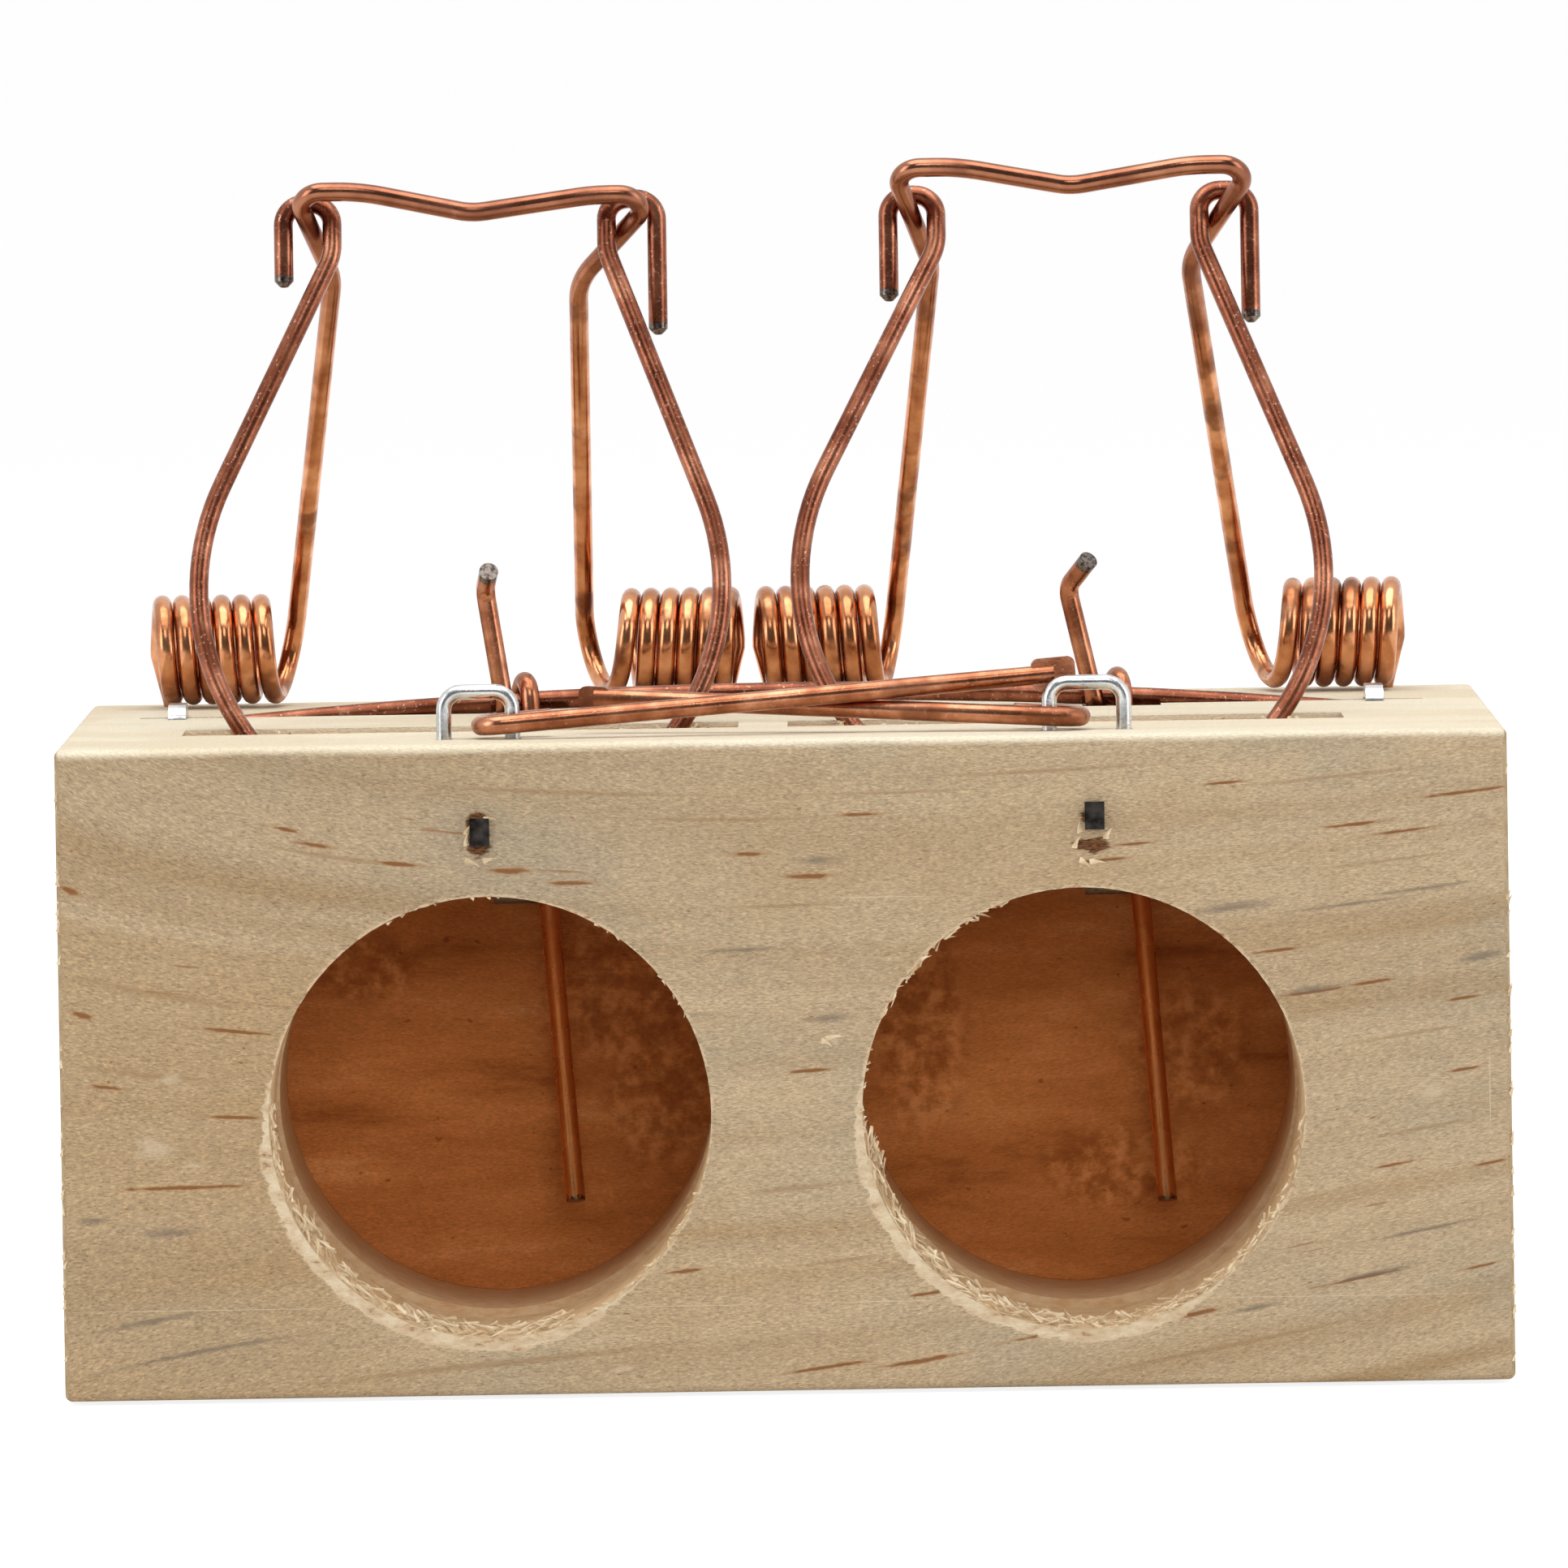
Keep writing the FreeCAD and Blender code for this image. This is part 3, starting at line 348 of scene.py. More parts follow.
def top_and_ends(paint, wood, base):
    """A top painted lighter for the stronger light that falls on it, also down over its rounded front edge, and
    end grain round a pith below the block.
    """
    # Painted light: the top and its rounded front edge get a paler tone than the front face, for the stronger
    # light that falls on them.
    on_top = paint.plus(wood.z, paint.times(paint.plus(wood.cloud, -0.5), 0.0008))
    on_top = paint.step(on_top, (BLOCK_TOP - 0.8) * MM, (BLOCK_TOP - 0.1) * MM)
    painted_light_top_tone = paint.mix(paint.step(wood.rings, 0.42, 0.60), (0.80, 0.685, 0.50), (0.865, 0.775, 0.60))
    painted_light_top_tone = paint.mix(0.45, painted_light_top_tone, wood.tone, "MULTIPLY")
    base = paint.mix(on_top, base, paint.cover(painted_light_top_tone, wood.stray, 0.5, (0.50, 0.27, 0.12)))

    above_pith = paint.plus(wood.z, PITH_BELOW * MM)
    from_pith = paint.calc("SQRT", paint.plus(paint.times(wood.y, wood.y), paint.times(above_pith, above_pith)))
    arcs = paint.calc("SINE", paint.plus(paint.times(from_pith, RING_WAVES), paint.times(wood.bands, 7.0)))
    end_tone = paint.ramp(paint.plus(paint.times(arcs, 0.5), 0.5),
                          [(0.50, (0.50, 0.375, 0.22)), (0.97, (0.42, 0.285, 0.155))])
    end_tone = paint.mix(0.7, end_tone, wood.specks, "MULTIPLY")
    on_end = paint.step(paint.calc("ABSOLUTE", wood.x), (BLOCK_HALF - 0.25) * MM, (BLOCK_HALF - 0.08) * MM)
    return paint.mix(on_end, base, end_tone)


def wall_wood(paint, wood):
    """Torn wood at the front of a hole's wall, shaved wood behind it, and painted shade that makes it browner
    with depth.
    """
    wall = paint.ramp(wood.torn, [(0.30, (0.42, 0.22, 0.10)), (0.42, (0.72, 0.53, 0.32)),
                                  (0.60, (0.88, 0.74, 0.53))])
    shaved = paint.ramp(wood.torn, [(0.35, (0.84, 0.57, 0.31)), (0.6, (0.96, 0.75, 0.48))])
    past_rim = paint.step(wood.roughened(wood.y, 0.003), -0.0330, -0.0318)
    wall = paint.cover(wall, past_rim, 0.85, shaved)
    # Painted shade: the wall turns browner and darker deeper inside the holes and the slots.
    return paint.cover(wall, paint.step(wood.y, -0.020, 0.010), 0.5, (0.66, 0.33, 0.14))


def back_wall_wood(paint, wood):
    """Wood at the back of the holes, painted a deep orange brown for the shade and the warm bounced light down
    there, gouged in places and finely spotted.
    """
    rough = wood.noise((60, 300, 260), 4.0, 0.6, (2, 5, 1))
    # Painted shade and bounced light: these browns are darker and more orange than the pine itself.
    brown = paint.ramp(rough, [(0.30, (0.34, 0.105, 0.024)), (0.42, (0.55, 0.195, 0.052)),
                               (0.58, (0.66, 0.250, 0.074)), (0.75, (0.80, 0.36, 0.130))])
    brown = paint.mix(0.6, brown, wood.tone, "MULTIPLY")
    gouged = paint.noise(wood.place, 850, 3.0, 0.6)
    patch = paint.step(marks(paint, wood.place, GOUGES, depth=HOLE_BACK), 1.3, 0.6)
    # The gouged places are real; inside them, dark patches are painted shade and light patches painted
    # highlight, for their relief.
    gouge_painted_shade = paint.times(patch, paint.step(gouged, 0.56, 0.34))
    gouge_painted_highlight = paint.times(patch, paint.step(gouged, 0.50, 0.68))
    brown = paint.cover(brown, gouge_painted_shade, 0.6, (0.30, 0.082, 0.018))
    brown = paint.cover(brown, gouge_painted_highlight, 0.6, (0.86, 0.37, 0.125))
    spots = paint.step(wood.noise((900, 900, 1400), 2.0, 0.6, (8, 1, 3)), 0.33, 0.25)
    return paint.cover(brown, spots, 0.6, (0.20, 0.050, 0.012))


def hollowed_wood(paint, wood, base):
    """The inside of the holes and slots, and the torn band on the face round the lower left of each hole."""
    x, y, z = wood.x, wood.y, wood.z
    wall = wall_wood(paint, wood)
    at_back = paint.step(y, (HOLE_BACK - 0.7) * MM, (HOLE_BACK - 0.2) * MM)
    hollow = paint.mix(at_back, wall, back_wall_wood(paint, wood))
    frayed_wood = paint.ramp(wood.torn, [(0.30, (0.30, 0.16, 0.075)), (0.40, (0.58, 0.42, 0.26)),
                                         (0.60, (0.72, 0.60, 0.42))])
    inside = paint.times(paint.step(y, (BLOCK_FRONT + 0.1) * MM, (BLOCK_FRONT + 0.3) * MM),
                         paint.calc("LESS_THAN", y, (HOLE_BACK + 0.3) * MM))
    at_front = paint.calc("LESS_THAN", y, (BLOCK_FRONT + 3) * MM)
    on_face = paint.mapped(wood.place, (1, 0, 1))
    for centre_x, centre_z in HOLES.values():
        offset = paint.vector("DISTANCE", on_face, (centre_x * MM, 0, centre_z * MM))
        near = paint.calc("LESS_THAN", offset, (HOLE_RADIUS + 0.1) * MM)
        toward = paint.plus(paint.times(paint.plus(x, -centre_x * MM), TORN_TOWARD[0]),
                            paint.times(paint.plus(z, -centre_z * MM), TORN_TOWARD[1]))
        width = paint.times(paint.step(toward, 0.0035, 0.0125), TORN_WIDTH * MM)
        beyond = wood.roughened(paint.plus(offset, paint.times(width, -1.0)), 0.0016)
        frayed = paint.step(beyond, (HOLE_RADIUS + 0.16) * MM, (HOLE_RADIUS + 0.02) * MM)
        base = paint.cover(base, paint.times(frayed, at_front), 0.9, frayed_wood)
        base = paint.mix(paint.times(near, inside), base, hollow)

    between = paint.times(paint.calc("GREATER_THAN", y, (SLOT_FRONT - 0.05) * MM),
                          paint.calc("LESS_THAN", y, (SLOT_BACK + 0.05) * MM))
    below = paint.calc("LESS_THAN", z, (BLOCK_TOP - 0.3) * MM)
    for centre_x in SLOTS.values():
        off = paint.calc("ABSOLUTE", paint.plus(x, -centre_x * MM))
        close = paint.calc("LESS_THAN", off, (SLOT_HALF + 0.05) * MM)
        base = paint.mix(paint.times(paint.times(close, between), below), base, wall)
    return base


def pine_material():
    """Planed pine with grain along X, reddish dashes, grey smudges, and browner drilled walls."""
    material, paint, shader = new_material("pine")
    wood = Wood(paint)
    base = planed_wood(paint, wood)
    base = marked_wood(paint, wood, base)
    base = top_and_ends(paint, wood, base)
    base = hollowed_wood(paint, wood, base)
    paint.feed(shader.inputs["Base Color"], base)
    paint.feed(shader.inputs["Roughness"], 0.75)
    paint.feed(shader.inputs["Specular IOR Level"], 0.2)
    relief = paint.plus(wood.fibres, paint.times(wood.pores, 0.4))
    paint.bump(shader, paint.plus(relief, paint.times(wood.torn, 0.4)), 0.55, 0.0003)
    return material


# Where the wires were cut off, in mm, with how far the bare steel shows
CUT_ENDS = [
    (-34.65, 2.73, 76.16, 0.8), (-8.25, 2.35, 72.43, 0.8), (8.10, 2.35, 74.52, 0.8), (33.65, 2.08, 72.64, 0.8),
    (-15.88, -25.88, 46.29, 0.7), (16.24, -25.54, 46.16, 0.7), (-20.63, 8.70, 55.24, 0.95),
    (22.00, 8.70, 55.38, 0.95), (-15.09, 3.58, 10.67, 0.72), (26.84, 3.58, 10.07, 0.72),
]


def copper_material(name, tones, grime, smooth, tarnished_above=None, reflection_painted_below=None):
    """Copper-plated spring wire: three tones from dark to bright, grimy blotches and fine pale flecks.

    Smooth runs from 0, rough and flecked, to 1. The wire is tarnished above one height, and below another it
    gets a painted bright orange reflection.
    """
    material, paint, shader = new_material(name)
    place = paint.place()
    height = paint.split(place)[2]
    patches = paint.noise(place, 380, 3.0, 0.55)
    spread = 150 + 130 * smooth
    blotches = paint.noise(paint.mapped(place, (spread, spread, spread), (1, 2, 3)), 1.0, 3.0, 0.55)
    flecks = paint.noise(place, 4000, 2.0, 0.6)
    tone = paint.ramp(patches, [(0.32, tones[0]), (0.50, tones[1]), (0.68, tones[2])])
    tone = paint.cover(tone, paint.step(blotches, 0.52, 0.66), grime, (0.125, 0.036, 0.014))
    tone = paint.cover(tone, paint.step(flecks, 0.62, 0.70), 0.45 * (1 - smooth), (0.86, 0.56, 0.44))
    if tarnished_above:
        high = paint.step(height, tarnished_above * MM, (tarnished_above + 12) * MM)
        tarnish = paint.mix(patches, (0.14, 0.045, 0.027), (0.42, 0.17, 0.105))
        tone = paint.cover(tone, high, 0.8, tarnish)
    # Painted reflection: low down, where the trigger rods hang in the holes, the wire is painted bright orange
    # for the warm walls it reflects.
    if reflection_painted_below:
        low = paint.step(height, (reflection_painted_below + 3) * MM, reflection_painted_below * MM)
        painted_orange_reflection = paint.mix(patches, (0.80, 0.33, 0.13), (0.98, 0.52, 0.25))
        tone = paint.cover(tone, low, 0.85, painted_orange_reflection)
    away = None
    for x, y, z, reach in CUT_ENDS:
        offset = paint.vector("DISTANCE", place, (x * MM, y * MM, z * MM))
        offset = paint.calc("DIVIDE", offset, reach * MM)
        away = offset if away is None else paint.calc("MINIMUM", away, offset)
    bare = paint.step(paint.plus(away, paint.times(paint.plus(flecks, -0.5), 0.5)), 1.08, 0.92)
    steel = paint.ramp(flecks, [(0.35, (0.05, 0.04, 0.036)), (0.6, (0.24, 0.20, 0.175))])
    tone = paint.mix(bare, tone, steel)
    paint.feed(shader.inputs["Base Color"], tone)
    paint.feed(shader.inputs["Metallic"], 1.0)
    dull = paint.plus(paint.times(paint.step(blotches, 0.45, 0.66), 0.14), 0.20 - 0.04 * smooth)
    paint.feed(shader.inputs["Roughness"], paint.plus(dull, paint.times(flecks, 0.16 * (1 - smooth))))
    paint.bump(shader, paint.plus(flecks, paint.times(patches, 2.0)), 0.16 * (1 - 0.7 * smooth), 0.00006)
    return material


def zinc_material():
    """Bright galvanized staple wire with dark flecks."""
    material, paint, shader = new_material("galvanized_wire")
    place = paint.place()
    flecks = paint.noise(place, 1700, 3.0, 0.6)
    soft = paint.noise(place, 520, 2.0, 0.5)
    tone = paint.ramp(soft, [(0.35, (0.50, 0.51, 0.51)), (0.6, (0.72, 0.73, 0.73))])
    tone = paint.cover(tone, paint.step(flecks, 0.62, 0.70), 0.6, (0.16, 0.15, 0.145))
    paint.feed(shader.inputs["Base Color"], tone)
    paint.feed(shader.inputs["Metallic"], 1.0)
    paint.feed(shader.inputs["Roughness"], paint.plus(paint.times(flecks, 0.3), 0.10))
    paint.bump(shader, paint.plus(soft, paint.times(flecks, 0.4)), 0.3, 0.00010)
    return material


def plain_material(name, dark, light, metallic, roughness, scale=2200):
    """Two tones mottled finely: cut wire ends, nail heads and torn splinters."""
    material, paint, shader = new_material(name)
    scuffs = paint.noise(paint.place(), scale, 3.0, 0.6)
    paint.feed(shader.inputs["Base Color"], paint.ramp(scuffs, [(0.38, dark), (0.62, light)]))
    paint.feed(shader.inputs["Metallic"], metallic)
    paint.feed(shader.inputs["Roughness"], roughness)
    paint.bump(shader, scuffs, 0.3, 0.00006)
    return material


pine = pine_material()
# The same coppered wire comes in three copies of different brightness. This one is darkened as painted shade,
# for the dark reflection on the fronts of the chokers.
copper = copper_material(
    "coppered_wire", ((0.165, 0.048, 0.026), (0.265, 0.088, 0.048), (0.44, 0.18, 0.105)), grime=0.5, smooth=0.0)
# A middle copy of the same copper for the lock bars and triggers.
lock_copper = copper_material(
    "brown_coppered_wire", ((0.24, 0.080, 0.036), (0.40, 0.150, 0.075), (0.60, 0.27, 0.155)), grime=0.45,
    smooth=0.4, reflection_painted_below=38)
# A brighter copy for the arms and coils: painted light, for the light and pale wood that they reflect.
bright_copper = copper_material(
    "bright_coppered_wire", ((0.36, 0.125, 0.050), (0.56, 0.235, 0.105), (0.74, 0.36, 0.19)), grime=0.7,
    smooth=0.8, tarnished_above=67)
zinc = zinc_material()
cut_steel = plain_material("cut_wire_end", (0.06, 0.045, 0.038), (0.30, 0.23, 0.19), 0.9, 0.35)
brad_steel = plain_material("brad_steel", (0.012, 0.010, 0.009), (0.060, 0.052, 0.046), 0.95, 0.45, 900)
splinter = plain_material("torn_pine", (0.52, 0.37, 0.21), (0.74, 0.60, 0.41), 0.0, 0.8, 900)


def dress(node, material):
    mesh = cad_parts[node].data
    mesh.materials.clear()
    mesh.materials.append(material)


bpy.ops.object.select_all(action="DESELECT")
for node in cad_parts:
    if node == "wood_block":
        dress(node, pine)
    elif node.endswith("staple"):
        dress(node, zinc)
    elif node.endswith("brad"):
        dress(node, brad_steel)
    elif node.endswith("arms_and_crossbar"):
        dress(node, bright_copper)
    elif node.endswith("lock_bar") or node.endswith("trigger"):
        dress(node, lock_copper)
    else:
        dress(node, copper)


# Staples, coils, cut tips and torn wood


def settle(piece, material):
    """Gives a finished piece its material and slot, smooth sides, and its place in its mesh."""
    bpy.ops.object.select_all(action="DESELECT")
    piece.select_set(True)
    bpy.context.view_layer.objects.active = piece
    bpy.ops.object.transform_apply(location=True, rotation=True, scale=True)
    piece.data.materials.clear()
    piece.data.materials.append(material)
    bpy.ops.object.shade_smooth_by_angle(angle=math.radians(50))


def wire_piece(name, line, material, diameter=WIRE):
    """A round wire along a line of points in mm, its two ends cut square."""
    curve = bpy.data.curves.new(name, "CURVE")
    curve.dimensions = "3D"
    curve.bevel_depth = diameter / 2 * MM
    curve.bevel_resolution = 6
    curve.use_fill_caps = True
    spline = curve.splines.new("POLY")
    spline.points.add(len(line) - 1)
    for target, point in zip(spline.points, line):
        target.co = (*(point * MM), 1)
    piece = bpy.data.objects.new(name, curve)
    bpy.context.collection.objects.link(piece)
    bpy.ops.object.select_all(action="DESELECT")
    piece.select_set(True)
    bpy.context.view_layer.objects.active = piece
    bpy.ops.object.convert(target="MESH")
    settle(piece, material)
    return piece


# Front staples: left and right leg in X, with their rounded corners
STAPLES = {"left": (-23.275, -18.525), "right": (18.625, 23.775)}
STAPLE_Y = -27.7
STAPLE_FOOT = 37.2
STAPLE_TOP = 48.26
STAPLE_BEND = 1.25
STAPLE_WIRE = 1.06
BEND_STEPS = 6

for side, (first_x, last_x) in STAPLES.items():
    line = [Vector((first_x, STAPLE_Y, STAPLE_FOOT))]
    for corner_x, begin in ((first_x + STAPLE_BEND, 180), (last_x - STAPLE_BEND, 90)):
        for number in range(BEND_STEPS + 1):
            angle = math.radians(begin - 90 / BEND_STEPS * number)
            line.append(Vector((corner_x + STAPLE_BEND * math.cos(angle), STAPLE_Y,
                                STAPLE_TOP - STAPLE_BEND + STAPLE_BEND * math.sin(angle))))
    line.append(Vector((last_x, STAPLE_Y, STAPLE_FOOT)))
    staple = wire_piece(side + "_bar_staple_wire", line, zinc, STAPLE_WIRE)
    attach(staple, "block")
    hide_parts(side + "_bar_staple")


COIL_Y = 28.0
COIL_Z = 49.2
COIL_RADIUS = 3.3
COIL_TURNS = 5.75
COIL_PITCH = 1.42
COIL_TRAVEL = 7.125
COIL_STEPS = 36
LEG_FOOT = 31
LEG_TOP = 44.6
FIRST_TURN_Z = 48.7

# Side, direction of winding, leg's X, how far the last half turn flares, and the name
COILS = [
    ("left", 1, -43.85, 0.25, "left_unit_left"),
    ("left", -1, -4.3, 0.9, "left_unit_right"),
    ("right", 1, -0.35, 0.25, "right_unit_left"),
    ("right", -1, 43.35, 0.7, "right_unit_right"),
]

for side, inward, leg_x, flare, label in COILS:
    last_x = leg_x + inward * COIL_TRAVEL
    first_x = last_x - inward * COIL_PITCH * COIL_TURNS
    back = COIL_Y + COIL_RADIUS
    line = [Vector((leg_x, back, LEG_FOOT)), Vector((leg_x, back, LEG_TOP)),
            Vector((first_x, back, FIRST_TURN_Z))]
    steps = int(COIL_TURNS * COIL_STEPS)
    for number in range(steps + 1):
        turned = number / steps
        pulled = max(0.0, 1 - (1 - turned) * COIL_TURNS / 0.5)
        angle = 2 * math.pi * COIL_TURNS * turned
        turn_x = first_x + (last_x - first_x) * turned + inward * flare * pulled ** 3
        line.append(Vector((turn_x, COIL_Y + COIL_RADIUS * math.cos(angle),
                            COIL_Z + COIL_RADIUS * math.sin(angle))))
    coil = wire_piece(label + "_coil", line, bright_copper)
    end = Vector((last_x - inward * 0.05, COIL_Y, COIL_Z)) * MM
    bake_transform(coil)
    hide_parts(label + "_spring_coil")


def cut_tip(name, body, place, lean):
    """The sheared end of a hook: a blunt wedge below the wire, leaned back with it."""
    bpy.ops.object.select_all(action="DESELECT")
    bpy.ops.mesh.primitive_cone_add(vertices=24, radius1=0.25 * MM, radius2=0.665 * MM, depth=0.42 * MM)
    tip = bpy.context.active_object
    tip.name = name
    bpy.ops.object.mode_set(mode="EDIT")
    bpy.ops.mesh.bevel(offset=0.10 * MM, segments=2, affect="EDGES")
    bpy.ops.object.mode_set(mode="OBJECT")
    tip.scale = (1.0, 0.9, 1.0)
    lean = math.radians(lean)
    tip.rotation_euler = (-lean, 0, 0)
    tip.location = Vector(place) * MM + Vector((0, -math.sin(lean), -math.cos(lean))) * 0.2 * MM
    settle(tip, cut_steel)
    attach(tip, body)


for name, body, place, lean in (
        ("left_hook_tip_left", "left_choker", (-34.65, 2.73, 76.16), 6),
        ("left_hook_tip_right", "left_choker", (-8.25, 2.35, 72.43), 6),
        ("right_hook_tip_left", "right_choker", (8.10, 2.35, 74.52), 8),
        ("right_hook_tip_right", "right_choker", (33.65, 2.08, 72.64), 8)):
    cut_tip(name, body, place, lean)


def torn_blade():
    """One torn fibre of wood, 1 mm long and flat, bent a little towards its thin end."""
    bpy.ops.object.select_all(action="DESELECT")
    bpy.ops.mesh.primitive_cone_add(vertices=4, radius1=0.14 * MM, radius2=0.012 * MM, depth=MM)
    blade = bpy.context.active_object
    bpy.ops.object.mode_set(mode="EDIT")
    bpy.ops.mesh.subdivide(number_cuts=2)
    bpy.ops.object.mode_set(mode="OBJECT")
    for corner in blade.data.vertices:
        corner.co.y *= 0.45
        corner.co.x += (corner.co.z + 0.5 * MM) ** 2 * 180
    return blade


def torn_wood(name, places):
    """Torn fibres as one piece.

    Each place holds X, Y and Z, the lean from the front, the turn in the face, the length and the width.
    """
    pattern = torn_blade()
    parts = []
    for x, y, z, lean, turn, length, width in places:
        part = pattern.copy()
        part.data = pattern.data.copy()
        bpy.context.collection.objects.link(part)
        part.matrix_world = (Matrix.Translation(Vector((x, y, z)) * MM)
                             @ Matrix.Rotation(math.radians(turn), 4, "Y")
                             @ Matrix.Rotation(math.radians(lean), 4, "X")
                             @ Matrix.Diagonal((width, width, length, 1)))
        parts.append(part)
    bpy.data.objects.remove(pattern)
    bpy.ops.object.select_all(action="DESELECT")
    for part in parts:
        part.select_set(True)
    bpy.context.view_layer.objects.active = parts[0]
    bpy.ops.object.join()
    piece = bpy.context.active_object
    piece.name = name
    settle(piece, splinter)
    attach(piece, "block")


# Where the rims are torn, in degrees from the right: from, to, how many, longest in mm, how far inward
TORN_RIMS = {
    "left": [
        (176, 212, 60, 1.2, 0.9), (205, 262, 170, 1.9, 1.7), (250, 292, 90, 2.0, 1.5),
        (285, 345, 44, 0.8, 0.5), (20, 62, 9, 0.5, 0.2), (86, 128, 10, 0.6, 0.2),
    ],
    "right": [
        (186, 226, 110, 2.2, 1.4), (220, 262, 130, 2.0, 1.7), (255, 305, 100, 1.6, 1.4),
        (300, 330, 56, 1.5, 1.0), (330, 356, 30, 1.4, 0.7), (108, 150, 40, 1.2, 0.4), (152, 186, 18, 0.6, 0.3),
    ],
}
chance = random.Random(11)
for side, (centre_x, centre_z) in HOLES.items():
    places = []
    for begin, end, count, longest, inward in TORN_RIMS[side]:
        for number in range(count):
            angle = math.radians(chance.uniform(begin, end))
            reach = HOLE_RADIUS - chance.uniform(-0.10, inward) * 0.55
            depth = BLOCK_FRONT + chance.uniform(-0.12, 0.2 + 1.8 * inward)
            length = longest * chance.uniform(0.3, 1.0)
            along = 90 - math.degrees(angle) + chance.choice((90, -90)) + chance.uniform(-35, 35)
            places.append((centre_x + reach * math.cos(angle), depth, centre_z + reach * math.sin(angle),
                           chance.uniform(-20, 40), along, length, chance.uniform(0.45, 1.1)))
    torn_wood(side + "_hole_torn_fibres", places)

# Chips on the top, along the slots' front edges near the loops
for side, centre_x in SLOTS.items():
    places = []
    for low, high in ((-17.5, -9.5), (9.0, 17.5)):
        for number in range(11):
            places.append((centre_x + chance.uniform(low, high), SLOT_FRONT + chance.uniform(-0.25, 0.35),
                           BLOCK_TOP + chance.uniform(-0.15, 0.12), chance.uniform(60, 120),
                           chance.uniform(-90, 90), chance.uniform(0.5, 1.6), chance.uniform(0.8, 1.6)))
    torn_wood(side + "_slot_torn_fibres", places)

# The sawn edges at the front corners are a little ragged.
places = []
for number in range(70):
    side = chance.choice((-1, 1))
    places.append((side * (BLOCK_HALF + chance.uniform(-0.12, -0.02)), BLOCK_FRONT + chance.uniform(0.0, 0.25),
                   chance.uniform(1.5, 44), chance.uniform(-15, 15), chance.uniform(-14, 14),
                   chance.uniform(0.3, 0.8), chance.uniform(0.6, 1.1)))
torn_wood("edge_torn_fibres", places)

# Crushed chips round the brads and the small dent between the holes: X, Z, turn in the face, length
CHIPS = [
    (-21.6, 39.2, 20, 1.0), (-21.8, 38.4, -10, 0.9), (-20.1, 39.9, 70, 0.8), (-21.3, 36.9, 100, 1.1),
    (-20.2, 37.1, 60, 0.9), (20.2, 37.6, 10, 0.9), (20.4, 38.6, -20, 0.8), (22.4, 38.2, 15, 0.9),
    (21.7, 36.3, 80, 1.1), (20.9, 36.2, 110, 0.9), (3.4, 24.5, 70, 1.3), (2.9, 24.1, 100, 0.8),
]
torn_wood("front_crushed_chips",
          [(x, BLOCK_FRONT - 0.02, z, 4, turn, length, 1.6) for x, z, turn, length in CHIPS])


# Camera, floor and light


def white_rays(paint, mirrored=True):
    """One where the camera, or a reflection in metal, looks straight at the white studio."""
    path = paint.nodes.new("ShaderNodeLightPath")
    if not mirrored:
        return path.outputs["Is Camera Ray"]
    shiny = paint.calc("MAXIMUM", path.outputs["Is Glossy Ray"], path.outputs["Is Transmission Ray"])
    return paint.calc("MAXIMUM", path.outputs["Is Camera Ray"], shiny)


def glow(paint, strength):
    """White light of a given strength."""
    node = paint.nodes.new("ShaderNodeEmission")
    paint.feed(node.inputs["Color"], (1.0, 1.0, 1.0))
    paint.feed(node.inputs["Strength"], strength)
    return node.outputs[0]


def either(paint, amount, first, second, output):
    """Sends one of two shaders to the output."""
    node = paint.nodes.new("ShaderNodeMixShader")
    for socket, value in zip(node.inputs, (amount, first, second)):
        paint.feed(socket, value)
    paint.links.new(node.outputs[0], paint.nodes[output].inputs["Surface"])


camera_data = bpy.data.cameras.new("camera")
camera_data.sensor_width = 36
camera_data.lens = 441.87
camera_data.clip_end = 20
camera = bpy.data.objects.new("camera", camera_data)
bpy.context.collection.objects.link(camera)
camera.location = (0.0035226, -1.358, 0.1057097)
yaw = Matrix.Rotation(0.0025, 4, "Z")
pitch = Matrix.Rotation(-0.0482, 4, "X")
roll = Matrix.Rotation(0.01595, 4, "Y")
camera.matrix_world = Matrix.Translation(camera.location) @ yaw @ pitch @ roll \
    @ Matrix.Rotation(math.pi / 2, 4, "X")
bpy.context.scene.camera = camera

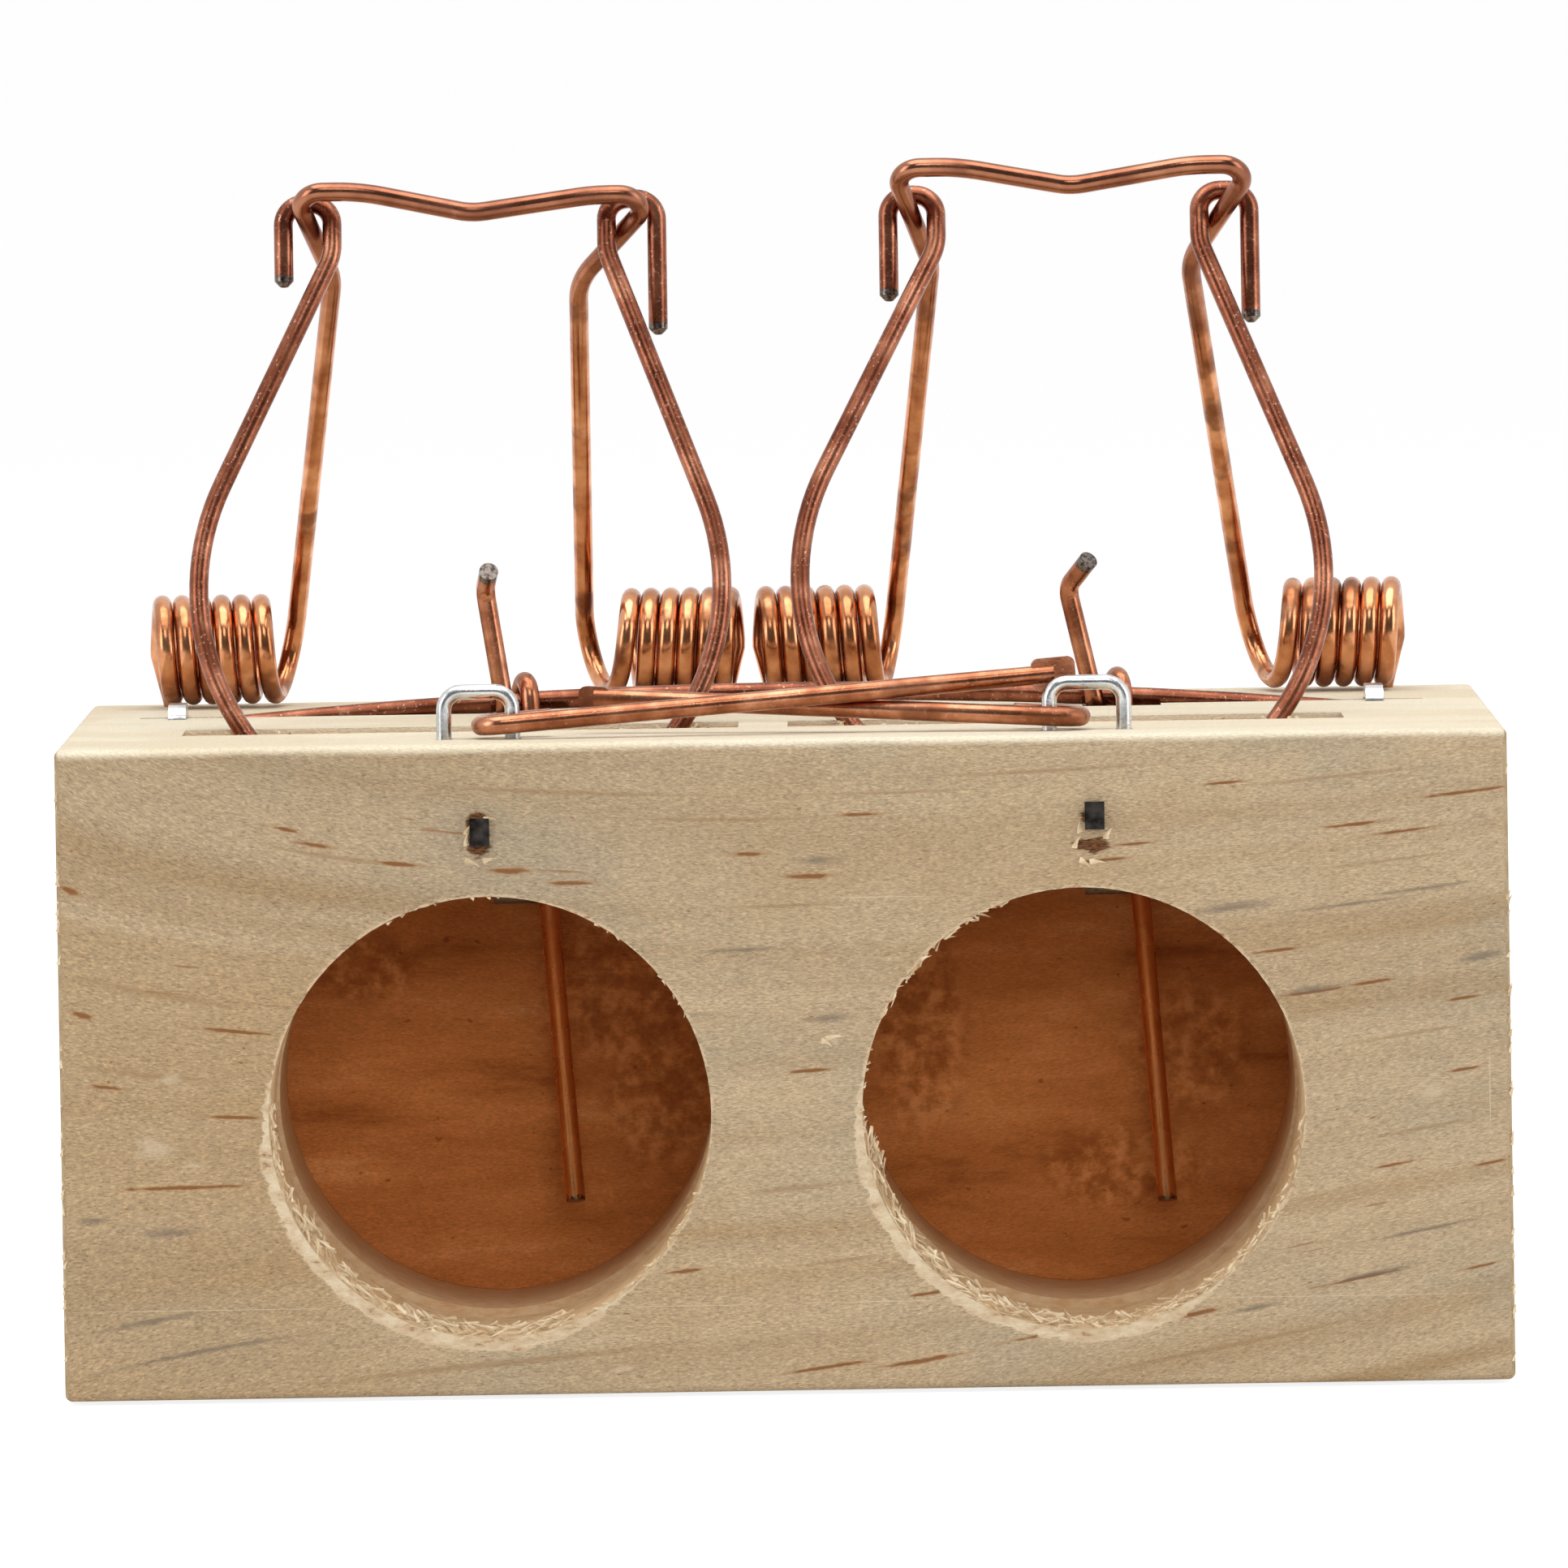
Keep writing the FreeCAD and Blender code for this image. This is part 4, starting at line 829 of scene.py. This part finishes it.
# The floor looks white and keeps the shadow that the block casts on it.
bpy.ops.mesh.primitive_plane_add(size=40, location=(0, 0, -0.0003))
floor = bpy.context.active_object
floor.name = "floor"
floor_material, paint, shader = new_material("floor_white")
paint.feed(shader.inputs["Base Color"], (0.9, 0.9, 0.9))
paint.feed(shader.inputs["Roughness"], 0.9)
faint = paint.nodes.new("ShaderNodeBsdfDiffuse")
paint.feed(faint.inputs["Color"], (0.4, 0.4, 0.4))
lit = paint.nodes.new("ShaderNodeAddShader")
paint.feed(lit.inputs[0], faint.outputs[0])
paint.feed(lit.inputs[1], glow(paint, 0.86))
either(paint, white_rays(paint), shader.outputs[0], lit.outputs[0], "Material Output")
floor.data.materials.append(floor_material)

# A dark card behind the camera gives the wires their dark fronts.
bpy.ops.mesh.primitive_plane_add(size=1, location=(0, -1.6, 1.5), rotation=(math.pi / 2, 0, 0))
card = bpy.context.active_object
card.name = "dark_card"
card.scale = (5.0, 3.0, 1)
card_material, paint, shader = new_material("dark_card")
either(paint, white_rays(paint, False), glow(paint, 0.16), glow(paint, 1.0), "Material Output")
card.data.materials.append(card_material)


def softbox(name, location, target, width, height, watts):
    lamp = bpy.data.lights.new(name, "AREA")
    lamp.shape = "RECTANGLE"
    lamp.size = width
    lamp.size_y = height
    lamp.energy = watts
    obj = bpy.data.objects.new(name, lamp)
    bpy.context.collection.objects.link(obj)
    obj.location = location
    direction = Vector(target) - Vector(location)
    obj.rotation_euler = direction.to_track_quat("-Z", "Y").to_euler()
    return obj


softbox("top_light", (0, -0.1, 0.8), (0, 0, 0.04), 0.9, 0.7, 4.9)
softbox("left_light", (-0.75, -0.45, 0.35), (0, 0, 0.05), 0.4, 0.6, 1.8)
softbox("right_light", (0.75, -0.35, 0.35), (0, 0, 0.05), 0.4, 0.6, 1.6)
softbox("high_front_light", (0.0, -0.85, 0.80), (0, 0, 0.03), 0.5, 0.3, 1.5)
front_light = softbox("front_light", (0.12, -1.25, 0.28), (0, 0, 0.03), 0.5, 0.25, 4.2)
back_light = softbox("back_light", (0.25, 0.95, 0.50), (0, 0, 0.03), 0.6, 0.4, 1.5)
for lamp in (front_light, back_light):
    lamp.visible_glossy = False

world = bpy.data.worlds.new("white_studio")
bpy.context.scene.world = world
world.use_nodes = True
paint = Paint(world.node_tree)
studio = paint.nodes["Background"]
paint.feed(studio.inputs["Color"], (0.9, 0.9, 0.9))
paint.feed(studio.inputs["Strength"], 0.36)
white = paint.nodes.new("ShaderNodeBackground")
paint.feed(white.inputs["Color"], (1.0, 1.0, 1.0))
either(paint, white_rays(paint), studio.outputs[0], white.outputs[0], "World Output")

bpy.context.scene.view_settings.view_transform = "Standard"
